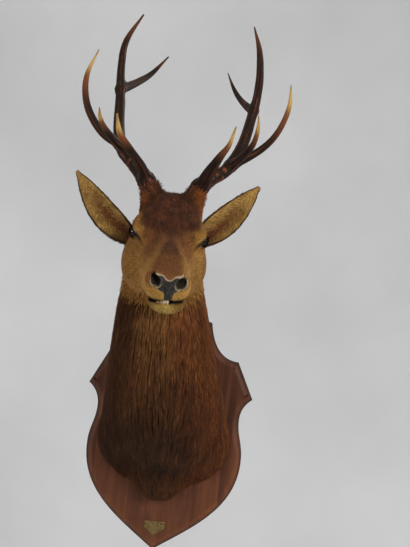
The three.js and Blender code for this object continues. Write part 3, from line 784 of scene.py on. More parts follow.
def ear_mesh(ear, stations=64, sides=30):
    """Rings from root to tip; each goes over the hollow and returns over the back."""
    s = np.sin(np.linspace(-1, 1, sides) * math.pi / 2)
    count = 2 * sides
    t = np.repeat(np.linspace(0, 1, stations), count)
    s = np.tile(np.concatenate([s, s[::-1]]), stations)
    outer = np.tile(np.repeat([0.0, 1.0], sides), stations)
    a = np.arange(sides - 1)
    cap = np.stack([a, a + 1, count - 2 - a, count - 1 - a], 1)
    far_cap = (cap + (stations - 1) * count)[:, ::-1]
    faces = np.concatenate([ring_faces(stations, count), cap, far_cap])
    return ear_point(ear, t, s, outer), faces, (t, s, outer)


def ear_uv(ear, uv):
    """An ear's own map, put into its patch of the unwrap."""
    return np.stack([EAR_U[0] + (EAR_U[1] - EAR_U[0]) * uv[:, 0], ear["map_from"] + 0.4 * uv[:, 1]], 1)


def outward(verts, quads):
    """The quads of a closed mesh, turned to face out in the row's mirrored frame."""
    a, b, c, d = (verts[quads[:, k]] for k in range(4))
    volume = (a * np.cross(b, c)).sum() + (a * np.cross(c, d)).sum()
    return quads if volume < 0 else quads[:, ::-1]


# ------------------------------------------------------------------ skin
SKIN_GRID = (
    spaced(-216, (-126, 5), (130, 2.6), (216, 5)),
    spaced(16, (330, 4.4), (720, 2.6)),
    spaced(120, (640, 5.2), (1000, 2.6)),
)


def make_skin():
    """The skin with its ears as one piece, and the body's own surface for the coat to grow on."""
    verts, quads = surface_nets(sample(skin, SKIN_GRID), SKIN_GRID)
    verts = smooth_mesh(verts, quads, 0.35)
    body = (verts, quads)
    quads = outward(verts, quads)
    all_verts, all_quads = [verts], [quads]
    # painted shade: the skin under the coat is darkened, as it lies deep among the locks
    tones, corners = [coat_colour(verts) * 0.78], [corner_uv(unwrap(verts), quads)]
    start = len(verts)
    for ear in EARS.values():
        verts, quads, places = ear_mesh(ear)
        quads = outward(verts, quads)
        all_verts.append(verts)
        all_quads.append(quads + start)
        # painted shade: each ear's skin is darkened under its coat too
        tones.append(ear_colour(*places) * 0.8)
        corners.append(ear_uv(ear, ear_map(*places))[quads])
        start += len(verts)
    obj = make_object("skin", np.concatenate(all_verts), np.concatenate(all_quads))
    set_colour(obj, np.concatenate(tones))
    set_uv(obj, np.concatenate(corners).reshape(-1, 2))
    return obj, body


# ------------------------------------------------------------------ coat
TUFT_PATCH = 0.003  # each tuft's size in the unwrap
# "density": locks for each square millimetre, where "count" doesn't give them all
# "vary": what a length is multiplied by, at random; "rise": how high each joint stands, 0 on the skin and
# 1 at the coat's surface; "clump": how wide a clump is, and how strongly it draws its ends together
# "profile": what the width is multiplied by from the root on; "flatness": thickness over width
# "shades": how light a lock is from root to tip, painted shade at the root that lightens towards the tip;
# "carry": how far its tip takes on the markings it reaches
LOCKS = {
    "mane": {
        "seed": 5,
        "density": 0.088,
        "vary": (0.7, 1.25),
        "rise": [(0.35, 0.7), (0.6, 0.92), (0.7, 1.08)],
        "clump": (13, 0.46),
        "width": (1.2, 2.5),
        "profile": [0.8, 1.0, 0.75],
        "flatness": 0.35,
        "shades": [0.72, 0.92, 1.06, 1.2],
        "carry": 0.9,
    },
    "face": {
        "seed": 8,
        "density": 0.21,
        "vary": (0.7, 1.3),
        "rise": [(0.45, 0.7), (0.75, 1.2)],
        "clump": (5, 0.25),
        "width": (1.0, 1.8),
        "profile": [0.8, 1.0],
        "flatness": 0.3,
        "shades": [0.86, 1.0, 1.12],
        "carry": 0.8,
    },
    "crown": {
        "seed": 21,
        "density": 0.16,
        "clump": (7, 0.35),
        "width": (1.3, 2.4),
        "profile": [0.8, 1.0, 0.85, 0.55],
        "flatness": 0.35,
        "shades": [0.55, 0.8, 1.05, 1.25, 1.4],
        "carry": 0.2,
    },
    "lash": {
        "seed": 31,
        "count": 60,
        "span": (-13.0, 10.0),
        "length": (5.5, 9.0),
        "width": (0.7, 1.1),
        "profile": [1.0, 0.85, 0.5],
        "flatness": 0.6,
    },
    "ear": {
        "count": 9000,
        "width": (1.2, 2.2),
        "profile": [0.8, 1.0],
        "flatness": 0.3,
        "shades": [0.75, 1.0, 1.2],
    },
}


def lock_mesh(name, kind, paths, normals, width, tones, uv):
    """Closed three-sided locks along paths, tapering to a point; tones give each point's colour."""
    n, k, _ = paths.shape
    rings = k - 1
    across = np.cross(np.gradient(paths, axis=1), normals)
    across /= np.maximum(np.linalg.norm(across, axis=2, keepdims=True), 1e-9)
    profile = np.array(kind["profile"])[None, :, None]
    w = across[:, :rings] * (width[:, None, None] * profile / 2)
    h = normals[:, :rings] * ((width * kind["flatness"])[:, None, None] * profile)
    centre = paths[:, :rings]
    ring = np.stack([centre - w, centre + w, centre + h], 2)
    verts = np.concatenate([ring.reshape(n, rings * 3, 3), paths[:, -1:]], 1)
    tip = rings * 3
    tri = [[0, 1, 2]]
    for i in range(0, tip - 3, 3):
        for a, b in ((i, i + 1), (i + 1, i + 2), (i + 2, i)):
            tri += [[a, a + 3, b], [b, a + 3, b + 3]]
    tri += [[tip - 3, tip, tip - 2], [tip - 2, tip, tip - 1], [tip - 1, tip, tip - 3]]
    tri = np.array(tri)
    # the mirrored frame turns the faces over where needed
    a, b, c = (verts[0][tri[:, j]] - verts[0].mean(0) for j in range(3))
    if (a * np.cross(b, c)).sum() > 0:
        tri = tri[:, ::-1]
    faces = (np.arange(n)[:, None, None] * (tip + 1) + tri[None]).reshape(-1, 3)
    obj = make_object(name, verts.reshape(-1, 3), faces)
    along = np.append(np.repeat(np.arange(rings), 3), rings) / rings
    place = np.stack([along - 0.5, np.append(np.tile([0.0, 1.0, 0.5], rings), 0.5) - 0.5], 1) * TUFT_PATCH
    place[2:-1:3, 0] += 0.1 * TUFT_PATCH
    corners = fill_map(uv)[:, None, :] + place[None]
    set_uv(obj, corners.reshape(-1, 2)[faces.ravel()])
    tone = np.concatenate([np.repeat(tones[:, :rings], 3, axis=1), tones[:, -1:]], 1)
    set_colour(obj, tone.reshape(-1, 3))
    return obj


def lock_tones(paths, shade, kind):
    """Colours down each lock: those at its root, drawn towards the markings it reaches, with painted shade
    at the root lightening towards the tip.
    """
    root = coat_colour(paths[:, 0])
    last = len(kind["shades"]) - 1
    tones = [root * kind["shades"][0]]
    for k in range(1, last + 1):
        reached = coat_colour(paths[:, k])
        tones.append((root + (reached - root) * kind["carry"] * k / last) * kind["shades"][k])
    return np.stack(tones, 1) * shade[:, None, None]


def fill_map(uv):
    """A piece's own part of the unwrap, spread over the whole map."""
    low, high = uv.min(0), uv.max(0)
    return 0.01 + 0.98 * (uv - low) / np.maximum(high - low, 1e-6)


def scatter(rng, body, density):
    """Points spread over the body's quads, about density(middle) for each square millimetre."""
    verts, quads = body
    a, b, c, d = (verts[quads[:, k]] for k in range(4))
    area = np.linalg.norm(np.cross(c - a, d - b), axis=1) / 2
    count = np.floor(area * density((a + b + c + d) / 4) + rng.random(len(quads))).astype(int)
    pick = np.repeat(np.arange(len(quads)), count)
    s, t = rng.random((2, len(pick), 1))
    return a[pick] * (1 - s) * (1 - t) + b[pick] * s * (1 - t) + c[pick] * s * t + d[pick] * (1 - s) * t


def hair_flow(p):
    """The way the coat lies, before it is laid along the skin."""
    h = to_head(p)
    f, r, u = h[:, 0], h[:, 1], h[:, 2]
    lower = fade(-20, -80, u)
    away = np.sign(r) * fade(12, 55, np.abs(r))
    cheek = fade(35, 62, np.abs(r)) * fade(40, 90, f)
    down = 0.4 - 1.2 * lower - 0.9 * cheek
    face = np.stack([-0.8 + 0.3 * lower + 0.25 * cheek, (0.2 + 0.35 * lower) * away, down], 1)
    crown = fade(10, -60, f) * fade(0, 30, u)
    face[:, 2] += 0.9 * crown
    face_way = face @ AXES
    axis = np.array([0, math.cos(NECK["climb"]), math.sin(NECK["climb"])])
    t = p[:, 1] * axis[1] + p[:, 2] * axis[2]
    hang = fade(350, 750, t)
    neck_way = -axis[None] * (0.35 + 0.5 * hang)[:, None] + np.array([0, 0, -0.8])
    w = fade(-40, 40, behind_face(h))[:, None]
    way = face_way * (1 - w) + neck_way * w
    for size, amount in ((60, 0.2), (24, 0.2), (10, 0.12)):
        for k in range(3):
            way[:, k] += amount * noise(p, size, 40 + k + size)
    return way


def lay_locks(roots, length, rise):
    """Paths that follow the body from each root: heights run from the skin to the coat's surface."""
    joints = rise.shape[1]
    paths, normals = [roots], []
    at = roots
    for k in range(joints):
        n = unit(slope_of(flesh, at)[1])
        if k == 0:
            normals.append(n)
        way = hair_flow(at)
        way = unit(way - n * (way * n).sum(1, keepdims=True))
        at = at + way * (length / joints)[:, None]
        wanted = -coat_depth(at) * (1 - rise[:, k])
        value, g = slope_of(flesh, at)
        size = np.maximum(np.linalg.norm(g, axis=1, keepdims=True), 1e-6)
        at = at - g / size * ((value - wanted)[:, None] / size)
        paths.append(at)
        normals.append(g / size)
    return np.stack(paths, 1), np.stack(normals, 1)


def arched_locks(roots, way, normal, length, lift, curve):
    """Paths that leave their roots one way and rise along the normal as the curve says."""
    steps = np.linspace(0, 1, len(curve))
    paths = roots[:, None] + way[:, None] * (length[:, None] * steps)[..., None]
    paths += normal[:, None] * (lift[:, None] * curve)[..., None]
    return paths, np.repeat(normal[:, None], len(curve), axis=1)


def clump(paths, cell, pull):
    """Draws the ends of neighbouring locks together."""
    key = np.floor((paths[:, 0] + 5 * noise(paths[:, 0], 20, 5)[:, None]) / cell).astype(np.int64)
    key = key[:, 0] * 1000003 + key[:, 1] * 1009 + key[:, 2]
    _, group = np.unique(key, return_inverse=True)
    group = group.ravel()
    count = np.bincount(group)
    for k in range(1, paths.shape[1]):
        for axis in range(3):
            mean = np.bincount(group, paths[:, k, axis]) / count
            paths[:, k, axis] += pull * (k / (paths.shape[1] - 1)) * (mean[group] - paths[:, k, axis])
    return paths


def cut_coat(name, parts, order, kind, paths, normals, width, tones):
    """One coat as several pieces, cut where the given order says."""
    uv = unwrap(paths[:, 0])
    pieces = []
    for i, part in enumerate(np.array_split(np.argsort(order), parts)):
        locks = (paths[part], normals[part], width[part], tones[part], uv[part])
        pieces.append(lock_mesh(f"{name}_{i + 1}", kind, *locks))
    return pieces


def make_mane(body):
    """The long coat of the neck, in four pieces from the board up."""
    kind = LOCKS["mane"]
    rng = np.random.default_rng(kind["seed"])

    def density(p):
        return kind["density"] * fade(-30, 10, behind_face(to_head(p))) * (p[:, 1] > BOARD_THICK + 2)

    roots = scatter(rng, body, density)
    n = len(roots)
    share = mane_share(roots)
    climb = neck_place(roots)[0]
    length = (13 + 43 * share) * rng.uniform(*kind["vary"], n)
    length *= 1 - 0.3 * fade(380, 200, climb)
    rise = [rng.uniform(*span, n) for span in kind["rise"]]
    rise[-1] += 0.4 * rng.random(n) ** 5
    paths, normals = lay_locks(roots, length, np.stack(rise, 1))
    paths = clump(paths, *kind["clump"])
    paths[:, :, 1] = np.maximum(paths[:, :, 1], LOCKS_BACK)
    width = rng.uniform(*kind["width"], n) * (0.7 + 0.3 * share)
    tones = lock_tones(paths, np.exp(rng.normal(-0.06, 0.31, n)), kind)
    return cut_coat("coat_neck", 4, climb, kind, paths, normals, width, tones)


def make_face_coat(body):
    """The short coat of the face, in three pieces from the nape forward."""
    kind = LOCKS["face"]
    rng = np.random.default_rng(kind["seed"])

    def density(p):
        h = to_head(p)
        outer = flesh(p)
        haired = (outer > -coat_depth(p) - 1.2) & (nostril(h, outer) > 2.5) & (pad_region(h) > 1.0)
        haired &= (np.abs(mouth_height(h)) > 2.2) | (h[:, 0] < MOUTH["from"])
        for side in SIDES.values():
            haired &= eye_opening(in_eye(p, side)) > 2.5
        return kind["density"] * fade(25, -15, behind_face(h)) * haired

    roots = scatter(rng, body, density)
    n = len(roots)
    h = to_head(roots)
    crown = crown_share(h)
    chin = fade(0, -8, mouth_height(h)) * fade(150, 190, h[:, 0])
    length = (6.0 + 3.5 * fade(150, 0, h[:, 0]) + 9 * crown + 3 * chin) * rng.uniform(*kind["vary"], n)
    length *= 0.3 + 0.7 * fade(0, 9, np.minimum(pad_region(h), nostril(h, flesh(roots))))
    shade = np.exp(rng.normal(0, 0.17, n) + 0.13 * noise(roots, 5, 15))
    low, high = kind["rise"]
    tip = rng.uniform(*high, n) + 0.9 * crown * rng.random(n) + 0.8 * chin * rng.random(n)
    paths, normals = lay_locks(roots, length, np.stack([rng.uniform(*low, n), tip], 1))
    paths = clump(paths, *kind["clump"])
    width = rng.uniform(*kind["width"], n) + 0.8 * crown
    tones = lock_tones(paths, shade, kind)
    return cut_coat("coat_face", 3, h[:, 0], kind, paths, normals, width, tones)


def make_crown_tufts(body):
    """Long rough tufts over the crown and between the pedicles, each curling its own way."""
    kind = LOCKS["crown"]
    rng = np.random.default_rng(kind["seed"])

    def density(p):
        h = to_head(p)
        top = fade(8, -40, h[:, 0]) * fade(10, 30, h[:, 2])
        top = kind["density"] * top * fade(92, 78, np.abs(h[:, 1]))
        return top * fade(40, 0, behind_face(h))

    roots = scatter(rng, body, density)
    n = len(roots)
    normal = unit(slope_of(flesh, roots)[1])
    way = hair_flow(roots)
    way = unit(way - normal * (way * normal).sum(1, keepdims=True))
    side = np.cross(normal, way)
    share = crown_share(to_head(roots))
    length = rng.uniform(8, 14, n) + 8 * share * rng.random(n)
    lift = coat_depth(roots) * 0.9 + rng.uniform(-1.0, 2.5, n) + 9.0 * share * rng.random(n) ** 2
    turn = rng.normal(0, 0.8, n)
    curl = rng.normal(0, 1.6, n)
    joints = 4
    paths = [roots]
    for k in range(1, joints + 1):
        bend = (turn + curl * k / joints)[:, None]
        step = (way * np.cos(bend) + side * np.sin(bend)) * (length / joints)[:, None]
        rise = (lift * (math.sin(1.5 * k / joints) - math.sin(1.5 * (k - 1) / joints)))[:, None]
        paths.append(paths[-1] + step + normal * rise)
    paths = clump(np.stack(paths, 1), *kind["clump"])
    normals = np.repeat(normal[:, None], joints + 1, axis=1)
    width = rng.uniform(*kind["width"], n)
    tones = lock_tones(paths, np.exp(rng.normal(0, 0.36, n)), kind)
    return lock_mesh("coat_crown", kind, paths, normals, width, tones, unwrap(roots))


def make_lashes(name, side):
    """Dark lashes fanned along the upper lid, longest over its outer half."""
    kind = LOCKS["lash"]
    rng = np.random.default_rng(kind["seed"] + side)
    centre, look, slit, over = eye_frame(side)
    n = kind["count"]
    along = rng.uniform(*kind["span"], n)
    reach = EYE_RADIUS + LID["over"] - 0.6
    up = np.full(n, 6.0)
    for _ in range(6):
        out = np.sqrt(np.maximum(reach**2 - along**2 - up**2, 1))
        oval = 1 - ((out - OPENING["at"][0]) / OPENING["radii"][0]) ** 2
        oval -= ((along - OPENING["at"][1]) / OPENING["radii"][1]) ** 2
        up = OPENING["at"][2] + OPENING["radii"][2] * np.sqrt(np.maximum(oval, 0)) + 0.4
    roots = centre + out[:, None] * look + along[:, None] * slit + up[:, None] * over
    fan = along / 14 + rng.normal(0, 0.12, n)
    way = unit(look + fan[:, None] * slit + rng.uniform(0.1, 0.4, n)[:, None] * over)
    length = rng.uniform(*kind["length"], n) * (0.75 - 0.25 * along / 14)
    normal = np.tile(over, (n, 1))
    paths, normals = arched_locks(roots, way, normal, length, 0.25 * length, np.linspace(0, 1, 4) ** 2)
    tones = np.tile(paint(20, 15, 12), (n, 4, 1)) * np.exp(rng.normal(0, 0.2, n))[:, None, None]
    width = rng.uniform(*kind["width"], n)
    return lock_mesh(name, kind, paths, normals, width, tones, unwrap(roots))


def make_ear_coat(name, ear):
    """Hair in the hollow and on the back of one ear, as one piece."""
    kind = LOCKS["ear"]
    rng = np.random.default_rng(ear["seed"])
    n = kind["count"]
    t = rng.uniform(0.02, 0.97, n)
    s = np.sin(rng.uniform(-1, 1, n) * math.pi / 2 * 0.96)
    outer = (rng.random(n) < 0.5).astype(float)
    back = outer > 0.5
    length = np.where(back, rng.uniform(8, 14, n), rng.uniform(12, 24, n))
    length *= 1 - 0.45 * t
    step = 0.004
    roots = ear_point(ear, t, s, outer)
    up_way = unit(ear_point(ear, t + step, s, outer) - roots)
    side_way = unit(ear_point(ear, t, s + step, outer) - roots)
    normal = unit(np.cross(up_way, side_way))
    through = unit(ear_point(ear, t, s, 1 - outer) - roots)
    normal *= -np.sign((normal * through).sum(1, keepdims=True))
    # in the hollow the hair leans from both edges to the middle
    lean = np.where(back, 0.15, 0.55) * -np.sign(s) + rng.normal(0, 0.18, n)
    way = unit(up_way + side_way * lean[:, None])
    lift = np.where(back, 0.12, 0.22) * length
    paths, normals = arched_locks(roots, way, normal, length, lift, np.sin(np.linspace(0, 1, 3) * 1.9))
    width = rng.uniform(*kind["width"], n)
    shade = np.exp(rng.normal(0, 0.2, n))[:, None, None]
    # the ear's locks get the same painted shade at the root, lighter at the tip
    tones = ear_colour(t, s, outer)[:, None, :] * shade * np.array(kind["shades"])[None, :, None]
    return lock_mesh(name, kind, paths, normals, width, tones, ear_map(t, s, outer))


# ------------------------------------------------------------------ nose pad
PAD_GRID = (
    spaced(222, (292, 1.3)),
    spaced(-48, (48, 1.3)),
    spaced(-62, (20, 1.3)),
)


def flat_bar(r, u, a, b, r0, r1):
    p = np.stack([r, u, np.zeros(len(r))], 1)
    return bar(p, [*a, 0], [*b, 0], r0, r1)


def pad_region(h):
    """Distance to the outline of the bare nose pad: a wing round each nostril and a stem to the lip."""
    r, u = np.abs(h[:, 1] - 1), h[:, 2]
    wing = flat_bar(r, u, (19, -9), (27.5, -8.5), 13.5, 13.5)
    body = flat_bar(r, u, (0, -18), (12, -17), 13.5, 13.5)
    stem = flat_bar(h[:, 1], u, (4, -26), (4.5, -60), 10.5, 7.5)
    d = smooth_min(smooth_min(wing, body, 5), stem, 8)
    return np.maximum(d, 226 - h[:, 0])


PAD = {"sunk": 0.3, "rim": 1.3, "thick": 9, "over_lips": 4.5}
LIP_GROOVE = {"at": 4, "half": 0.9, "top": -17, "depth": 1.1}
PAD_LUMPS = ((0.3, 3.4, 51), (0.4, 8, 52))  # their height, size and seed


def pad(h):
    """Distance to the nose pad's surface, from places on the head."""
    outer = flesh(from_head(h))
    hole = nostril(h, outer)
    d = outer + PAD["sunk"]
    for height, size, seed in PAD_LUMPS:
        d = d + height * noise(h, size, seed)
    # a raised rim round each nostril, and a groove down the middle of the lip
    d = d - PAD["rim"] * np.exp(-(((hole - 0.8) / 2.4) ** 2))
    groove = np.abs(h[:, 1] - LIP_GROOVE["at"] - 0.6 * noise(h, 9, 53)) - LIP_GROOVE["half"]
    groove = np.maximum(groove, h[:, 2] - LIP_GROOVE["top"])
    d = d + LIP_GROOVE["depth"] * fade(1.2, -0.4, groove)
    d = smooth_max(d, pad_region(h), 2.0)
    d = smooth_max(d, -(outer + PAD["thick"]), 0.5)
    d = smooth_max(d, -(mouth_height(h) - PAD["over_lips"]), 1.5)
    return smooth_max(d, -hole, 2.0)


def make_nose():
    verts, quads = surface_nets(sample(pad, PAD_GRID, 3), PAD_GRID)
    verts = smooth_mesh(verts, quads, 0.3)
    outer = flesh(from_head(verts))
    edge, hole = pad_region(verts), nostril(verts, outer)
    r, u = np.abs(verts[:, 1]), verts[:, 2]
    tone = mix(paint(35, 31, 26), paint(19, 17, 15), fade(-0.2, 0.6, noise(verts, 6, 55)))
    tone = mix(tone, paint(68, 62, 54), fade(0.2, 0.8, noise(verts, 3.6, 56)) * 0.6)
    tone = mix(tone, CREAM * 0.62, fade(-1.7, -0.8, edge) * fade(-36, -24, u) * 0.75)
    rim = fade(2.0, 1.1, hole) * fade(-0.4, 0.4, hole)
    tone = mix(tone, CREAM * 0.7, rim * (0.1 + 0.45 * fade(6, -6, u + 8 + 0.4 * (28 - r))))
    tone = mix(tone, paint(44, 37, 29), fade(0.4, -0.8, hole))
    # painted shade: darker the deeper the pad lies below the coat, down in the nostrils
    tone = mix(tone, paint(30, 25, 20), fade(-4, -9, outer))
    obj = face_out(make_object("nose", from_head(verts), quads))
    set_colour(obj, tone)
    return obj


# ------------------------------------------------------------------ teeth
def ball_rings(rows, count):
    """Polar and turning angles on a ball's rings, and its faces; the two poles are the last vertices."""
    polar = np.linspace(0, math.pi, rows + 1)[1:-1]
    turn = np.arange(count) / count * 2 * math.pi
    a, b = (x.ravel() for x in np.meshgrid(polar, turn, indexing="ij"))
    faces = ring_faces(rows - 1, count).tolist()
    for j in range(count):
        k = (j + 1) % count
        last = len(a) - count
        faces += [[len(a), k, j], [len(a) + 1, last + j, last + k]]
    return a, b, faces


INCISORS = {"count": 6, "first": -16.0, "last": 6.0, "up": -61.0, "half": [2.6, 2.1, 6.0], "behind": 5.5}


def make_incisors():
    """Lower front teeth: rounded blades in a row behind the lower lip, joined in one mesh."""
    a, b, blade = ball_rings(10, 16)
    egg = np.stack([np.sin(a) * np.cos(b), np.sin(a) * np.sin(b), np.cos(a)], 1)
    egg = np.vstack([egg, [[0, 0, 1], [0, 0, -1]]])
    egg = np.sign(egg) * np.abs(egg) ** np.array([0.8, 0.75, 0.7])
    verts, faces = [], []
    for i, across in enumerate(np.linspace(INCISORS["first"], INCISORS["last"], INCISORS["count"])):
        reach = np.arange(200.0, 275.0, 0.5)
        line = np.stack([reach, np.full(len(reach), across), np.full(len(reach), INCISORS["up"])], 1)
        front = reach[flesh(from_head(line)) < 0].max() - INCISORS["behind"]
        size = np.array(INCISORS["half"]) * (1 + 0.05 * math.sin(9 * i))
        faces += [[i * len(egg) + v for v in face] for face in blade]
        verts.append(egg * size + [front, across, INCISORS["up"] + MOUTH["tilt"] * across])
    verts = np.concatenate(verts)
    obj = face_out(make_object("incisors", from_head(verts), faces))
    set_colour(obj, mix(paint(232, 208, 176), paint(170, 132, 92), fade(-58, -66, verts[:, 2])))
    return obj


# ------------------------------------------------------------------ eyes
def make_eye(name, side):
    """A glass eye with a clear bulge over a brown iris and a wide dark pupil."""
    centre, look, slit, over = eye_frame(side)
    a, b, faces = ball_rings(44, 64)
    bulge = EYE_RADIUS - 0.4 + 0.7 * np.exp(-((a / 0.95) ** 4))
    along = np.append(bulge * np.cos(a), [EYE_RADIUS + 0.3, -EYE_RADIUS + 0.4])
    x = np.append(bulge * np.sin(a) * np.cos(b), [0, 0])
    y = np.append(bulge * np.sin(a) * np.sin(b), [0, 0])
    verts = centre + along[:, None] * look + x[:, None] * slit + y[:, None] * over
    obj = face_out(make_object(name, verts, faces))
    pupil = np.sqrt((x / 7.5) ** 2 + (y / 4.2) ** 2)
    spread = np.sqrt(x * x + y * y)
    rays = noise(np.stack([np.arctan2(y, x) * 9, spread / 9, 0 * x], 1), 1.0, 61)
    tone = mix(paint(66, 54, 46), paint(50, 43, 38), 0.5 + 0.5 * rays)
    tone = mix(tone, paint(46, 43, 45), fade(1.1, 0.9, pupil))
    set_colour(obj, mix(tone, paint(40, 36, 35), fade(10.0, 11.5, spread)))
    return obj


# ------------------------------------------------------------------ antlers
# points along each beam and tine with their radii: [across, out, up, radius]
ANTLERS = {
    "right": {
        "beam": [
            [-62, 410, 925, 19.5], [-75, 404, 952, 22], [-106, 388, 988, 18], [-155, 355, 1040, 17],
            [-178, 318, 1097, 15], [-197, 262, 1200, 13], [-218, 200, 1310, 10.5], [-222, 158, 1404, 8.5],
            [-186, 140, 1492, 3],
        ],
        "brow": [
            [-80, 404, 957, 16], [-86, 452, 977, 12.5], [-111, 528, 1005, 9.5], [-127, 565, 1027, 7.5],
            [-133, 592, 1062, 2.5],
        ],
        "bez": [
            [-146, 362, 1034, 12], [-169, 422, 1047, 9.5], [-186, 480, 1064, 7], [-189, 512, 1076, 5],
            [-187, 540, 1089, 2],
        ],
        "trez": [
            [-163, 335, 1056, 13], [-209, 378, 1074, 10.5], [-244, 420, 1125, 9], [-252, 440, 1190, 7],
            [-232, 430, 1271, 2],
        ],
        "crown": [
            [-204, 245, 1233, 13], [-177, 168, 1281, 10.5], [-149, 98, 1336, 7.5], [-112, 62, 1403, 2.5],
        ],
    },
    "left": {
        "beam": [
            [42, 384, 925, 20], [50, 379, 952, 22], [76, 362, 984, 18.5], [110, 338, 1015, 16],
            [141, 305, 1084, 15], [159, 250, 1195, 13], [165, 228, 1247, 11.5], [166, 203, 1315, 10.5],
            [155, 160, 1408, 8], [133, 140, 1482, 2.5],
        ],
        "brow": [
            [57, 378, 957, 18.5], [74, 425, 979, 15], [105, 492, 1011, 9.5], [124, 518, 1033, 6],
            [137, 542, 1071, 2.5],
        ],
        "bez": [
            [120, 330, 1029, 11.5], [152, 395, 1040, 9.5], [178, 455, 1060, 7], [186, 485, 1089, 5],
            [185, 502, 1114, 2],
        ],
        "trez": [
            [122, 326, 1032, 12], [194, 348, 1075, 9], [232, 385, 1113, 7.5], [254, 408, 1172, 6],
            [253, 411, 1229, 2],
        ],
        "crown": [[160, 240, 1205, 12], [125, 170, 1251, 8.5], [95, 116, 1302, 6], [68, 76, 1364, 2]],
    },
}
# the length of each tine's pale end, and how pale it is
IVORY = {"beam": (95, 0.0), "brow": (84, 0.95), "bez": (78, 0.95), "trez": (130, 1.0), "crown": (60, 0.0)}
ANTLER_SPACING = 2.3
FORK_BLEND = 12.0
BURR = {"at": 34.0, "width": 9.0, "height": 1.5}


def centripetal(points, steps=7):
    """A smooth line through the points, with the radius and the length run at each step."""
    p = np.array(points, float)
    xyz = p[:, :3]
    full = np.vstack([2 * xyz[0] - xyz[1], xyz, 2 * xyz[-1] - xyz[-2]])
    out, param = [], []
    for i in range(len(xyz) - 1):
        x0, x1, x2, x3 = full[i : i + 4]
        d0, d1, d2 = (math.sqrt(np.linalg.norm(b - a)) for a, b in ((x0, x1), (x1, x2), (x2, x3)))
        t1 = ((x1 - x0) / d0 - (x2 - x0) / (d0 + d1) + (x2 - x1) / d1) * d1
        t2 = ((x2 - x1) / d1 - (x3 - x1) / (d1 + d2) + (x3 - x2) / d2) * d1
        for f in np.arange(steps) / steps:
            a, b = 2 * x1 - 2 * x2 + t1 + t2, -3 * x1 + 3 * x2 - 2 * t1 - t2
            out.append(x1 + t1 * f + b * f * f + a * f**3)
            param.append(i + f)
    out.append(xyz[-1])
    param.append(len(xyz) - 1)
    line = np.array(out)
    run = np.append(0, np.cumsum(np.linalg.norm(np.diff(line, axis=0), axis=1)))
    return line, curve_at(p[:, 3], np.array(param)), run


def turning_frames(line):
    """Directions square to a line that don't twist along it."""
    tangent = unit(np.gradient(line, axis=0))
    normal = np.cross(tangent[0], [0.3, 0.2, 0.9])
    normals = []
    for t in tangent:
        normal = normal - t * (normal @ t)
        normal /= np.linalg.norm(normal)
        normals.append(normal)
    normals = np.array(normals)
    return normals, np.cross(tangent, normals)


def nearest_on(line, p):
    """For each point: the nearest segment, how far along it, and the distance."""
    best = np.full(len(p), 1e9)
    where = np.zeros(len(p), int)
    part = np.zeros(len(p))
    for i in range(len(line) - 1):
        a, along = line[i], line[i + 1] - line[i]
        q = p - a
        t = np.clip(q @ along / (along @ along), 0, 1)
        d = ((q - t[:, None] * along) ** 2).sum(1)
        closer = d < best
        best[closer], where[closer], part[closer] = d[closer], i, t[closer]
    return where, part, np.sqrt(best)


class Antler:
    """The shape of one antler; called with points, it gives their distance to the surface."""

    def __init__(self, tines):
        self.lines = {name: centripetal(points) for name, points in tines.items()}

    def tube(self, name, p):
        line, radii, run = self.lines[name]
        i, t, d = nearest_on(line, p)
        radius = radii[i] + (radii[i + 1] - radii[i]) * t
        along = run[i] + (run[i + 1] - run[i]) * t
        if name == "beam":
            radius = radius + BURR["height"] * np.exp(-(((along - BURR["at"]) / BURR["width"]) ** 2))
        return d - radius, i, along

    def __call__(self, p):
        d = self.tube("beam", p)[0]
        for name in self.lines:
            if name != "beam":
                d = smooth_min(d, self.tube(name, p)[0], FORK_BLEND)
        return d


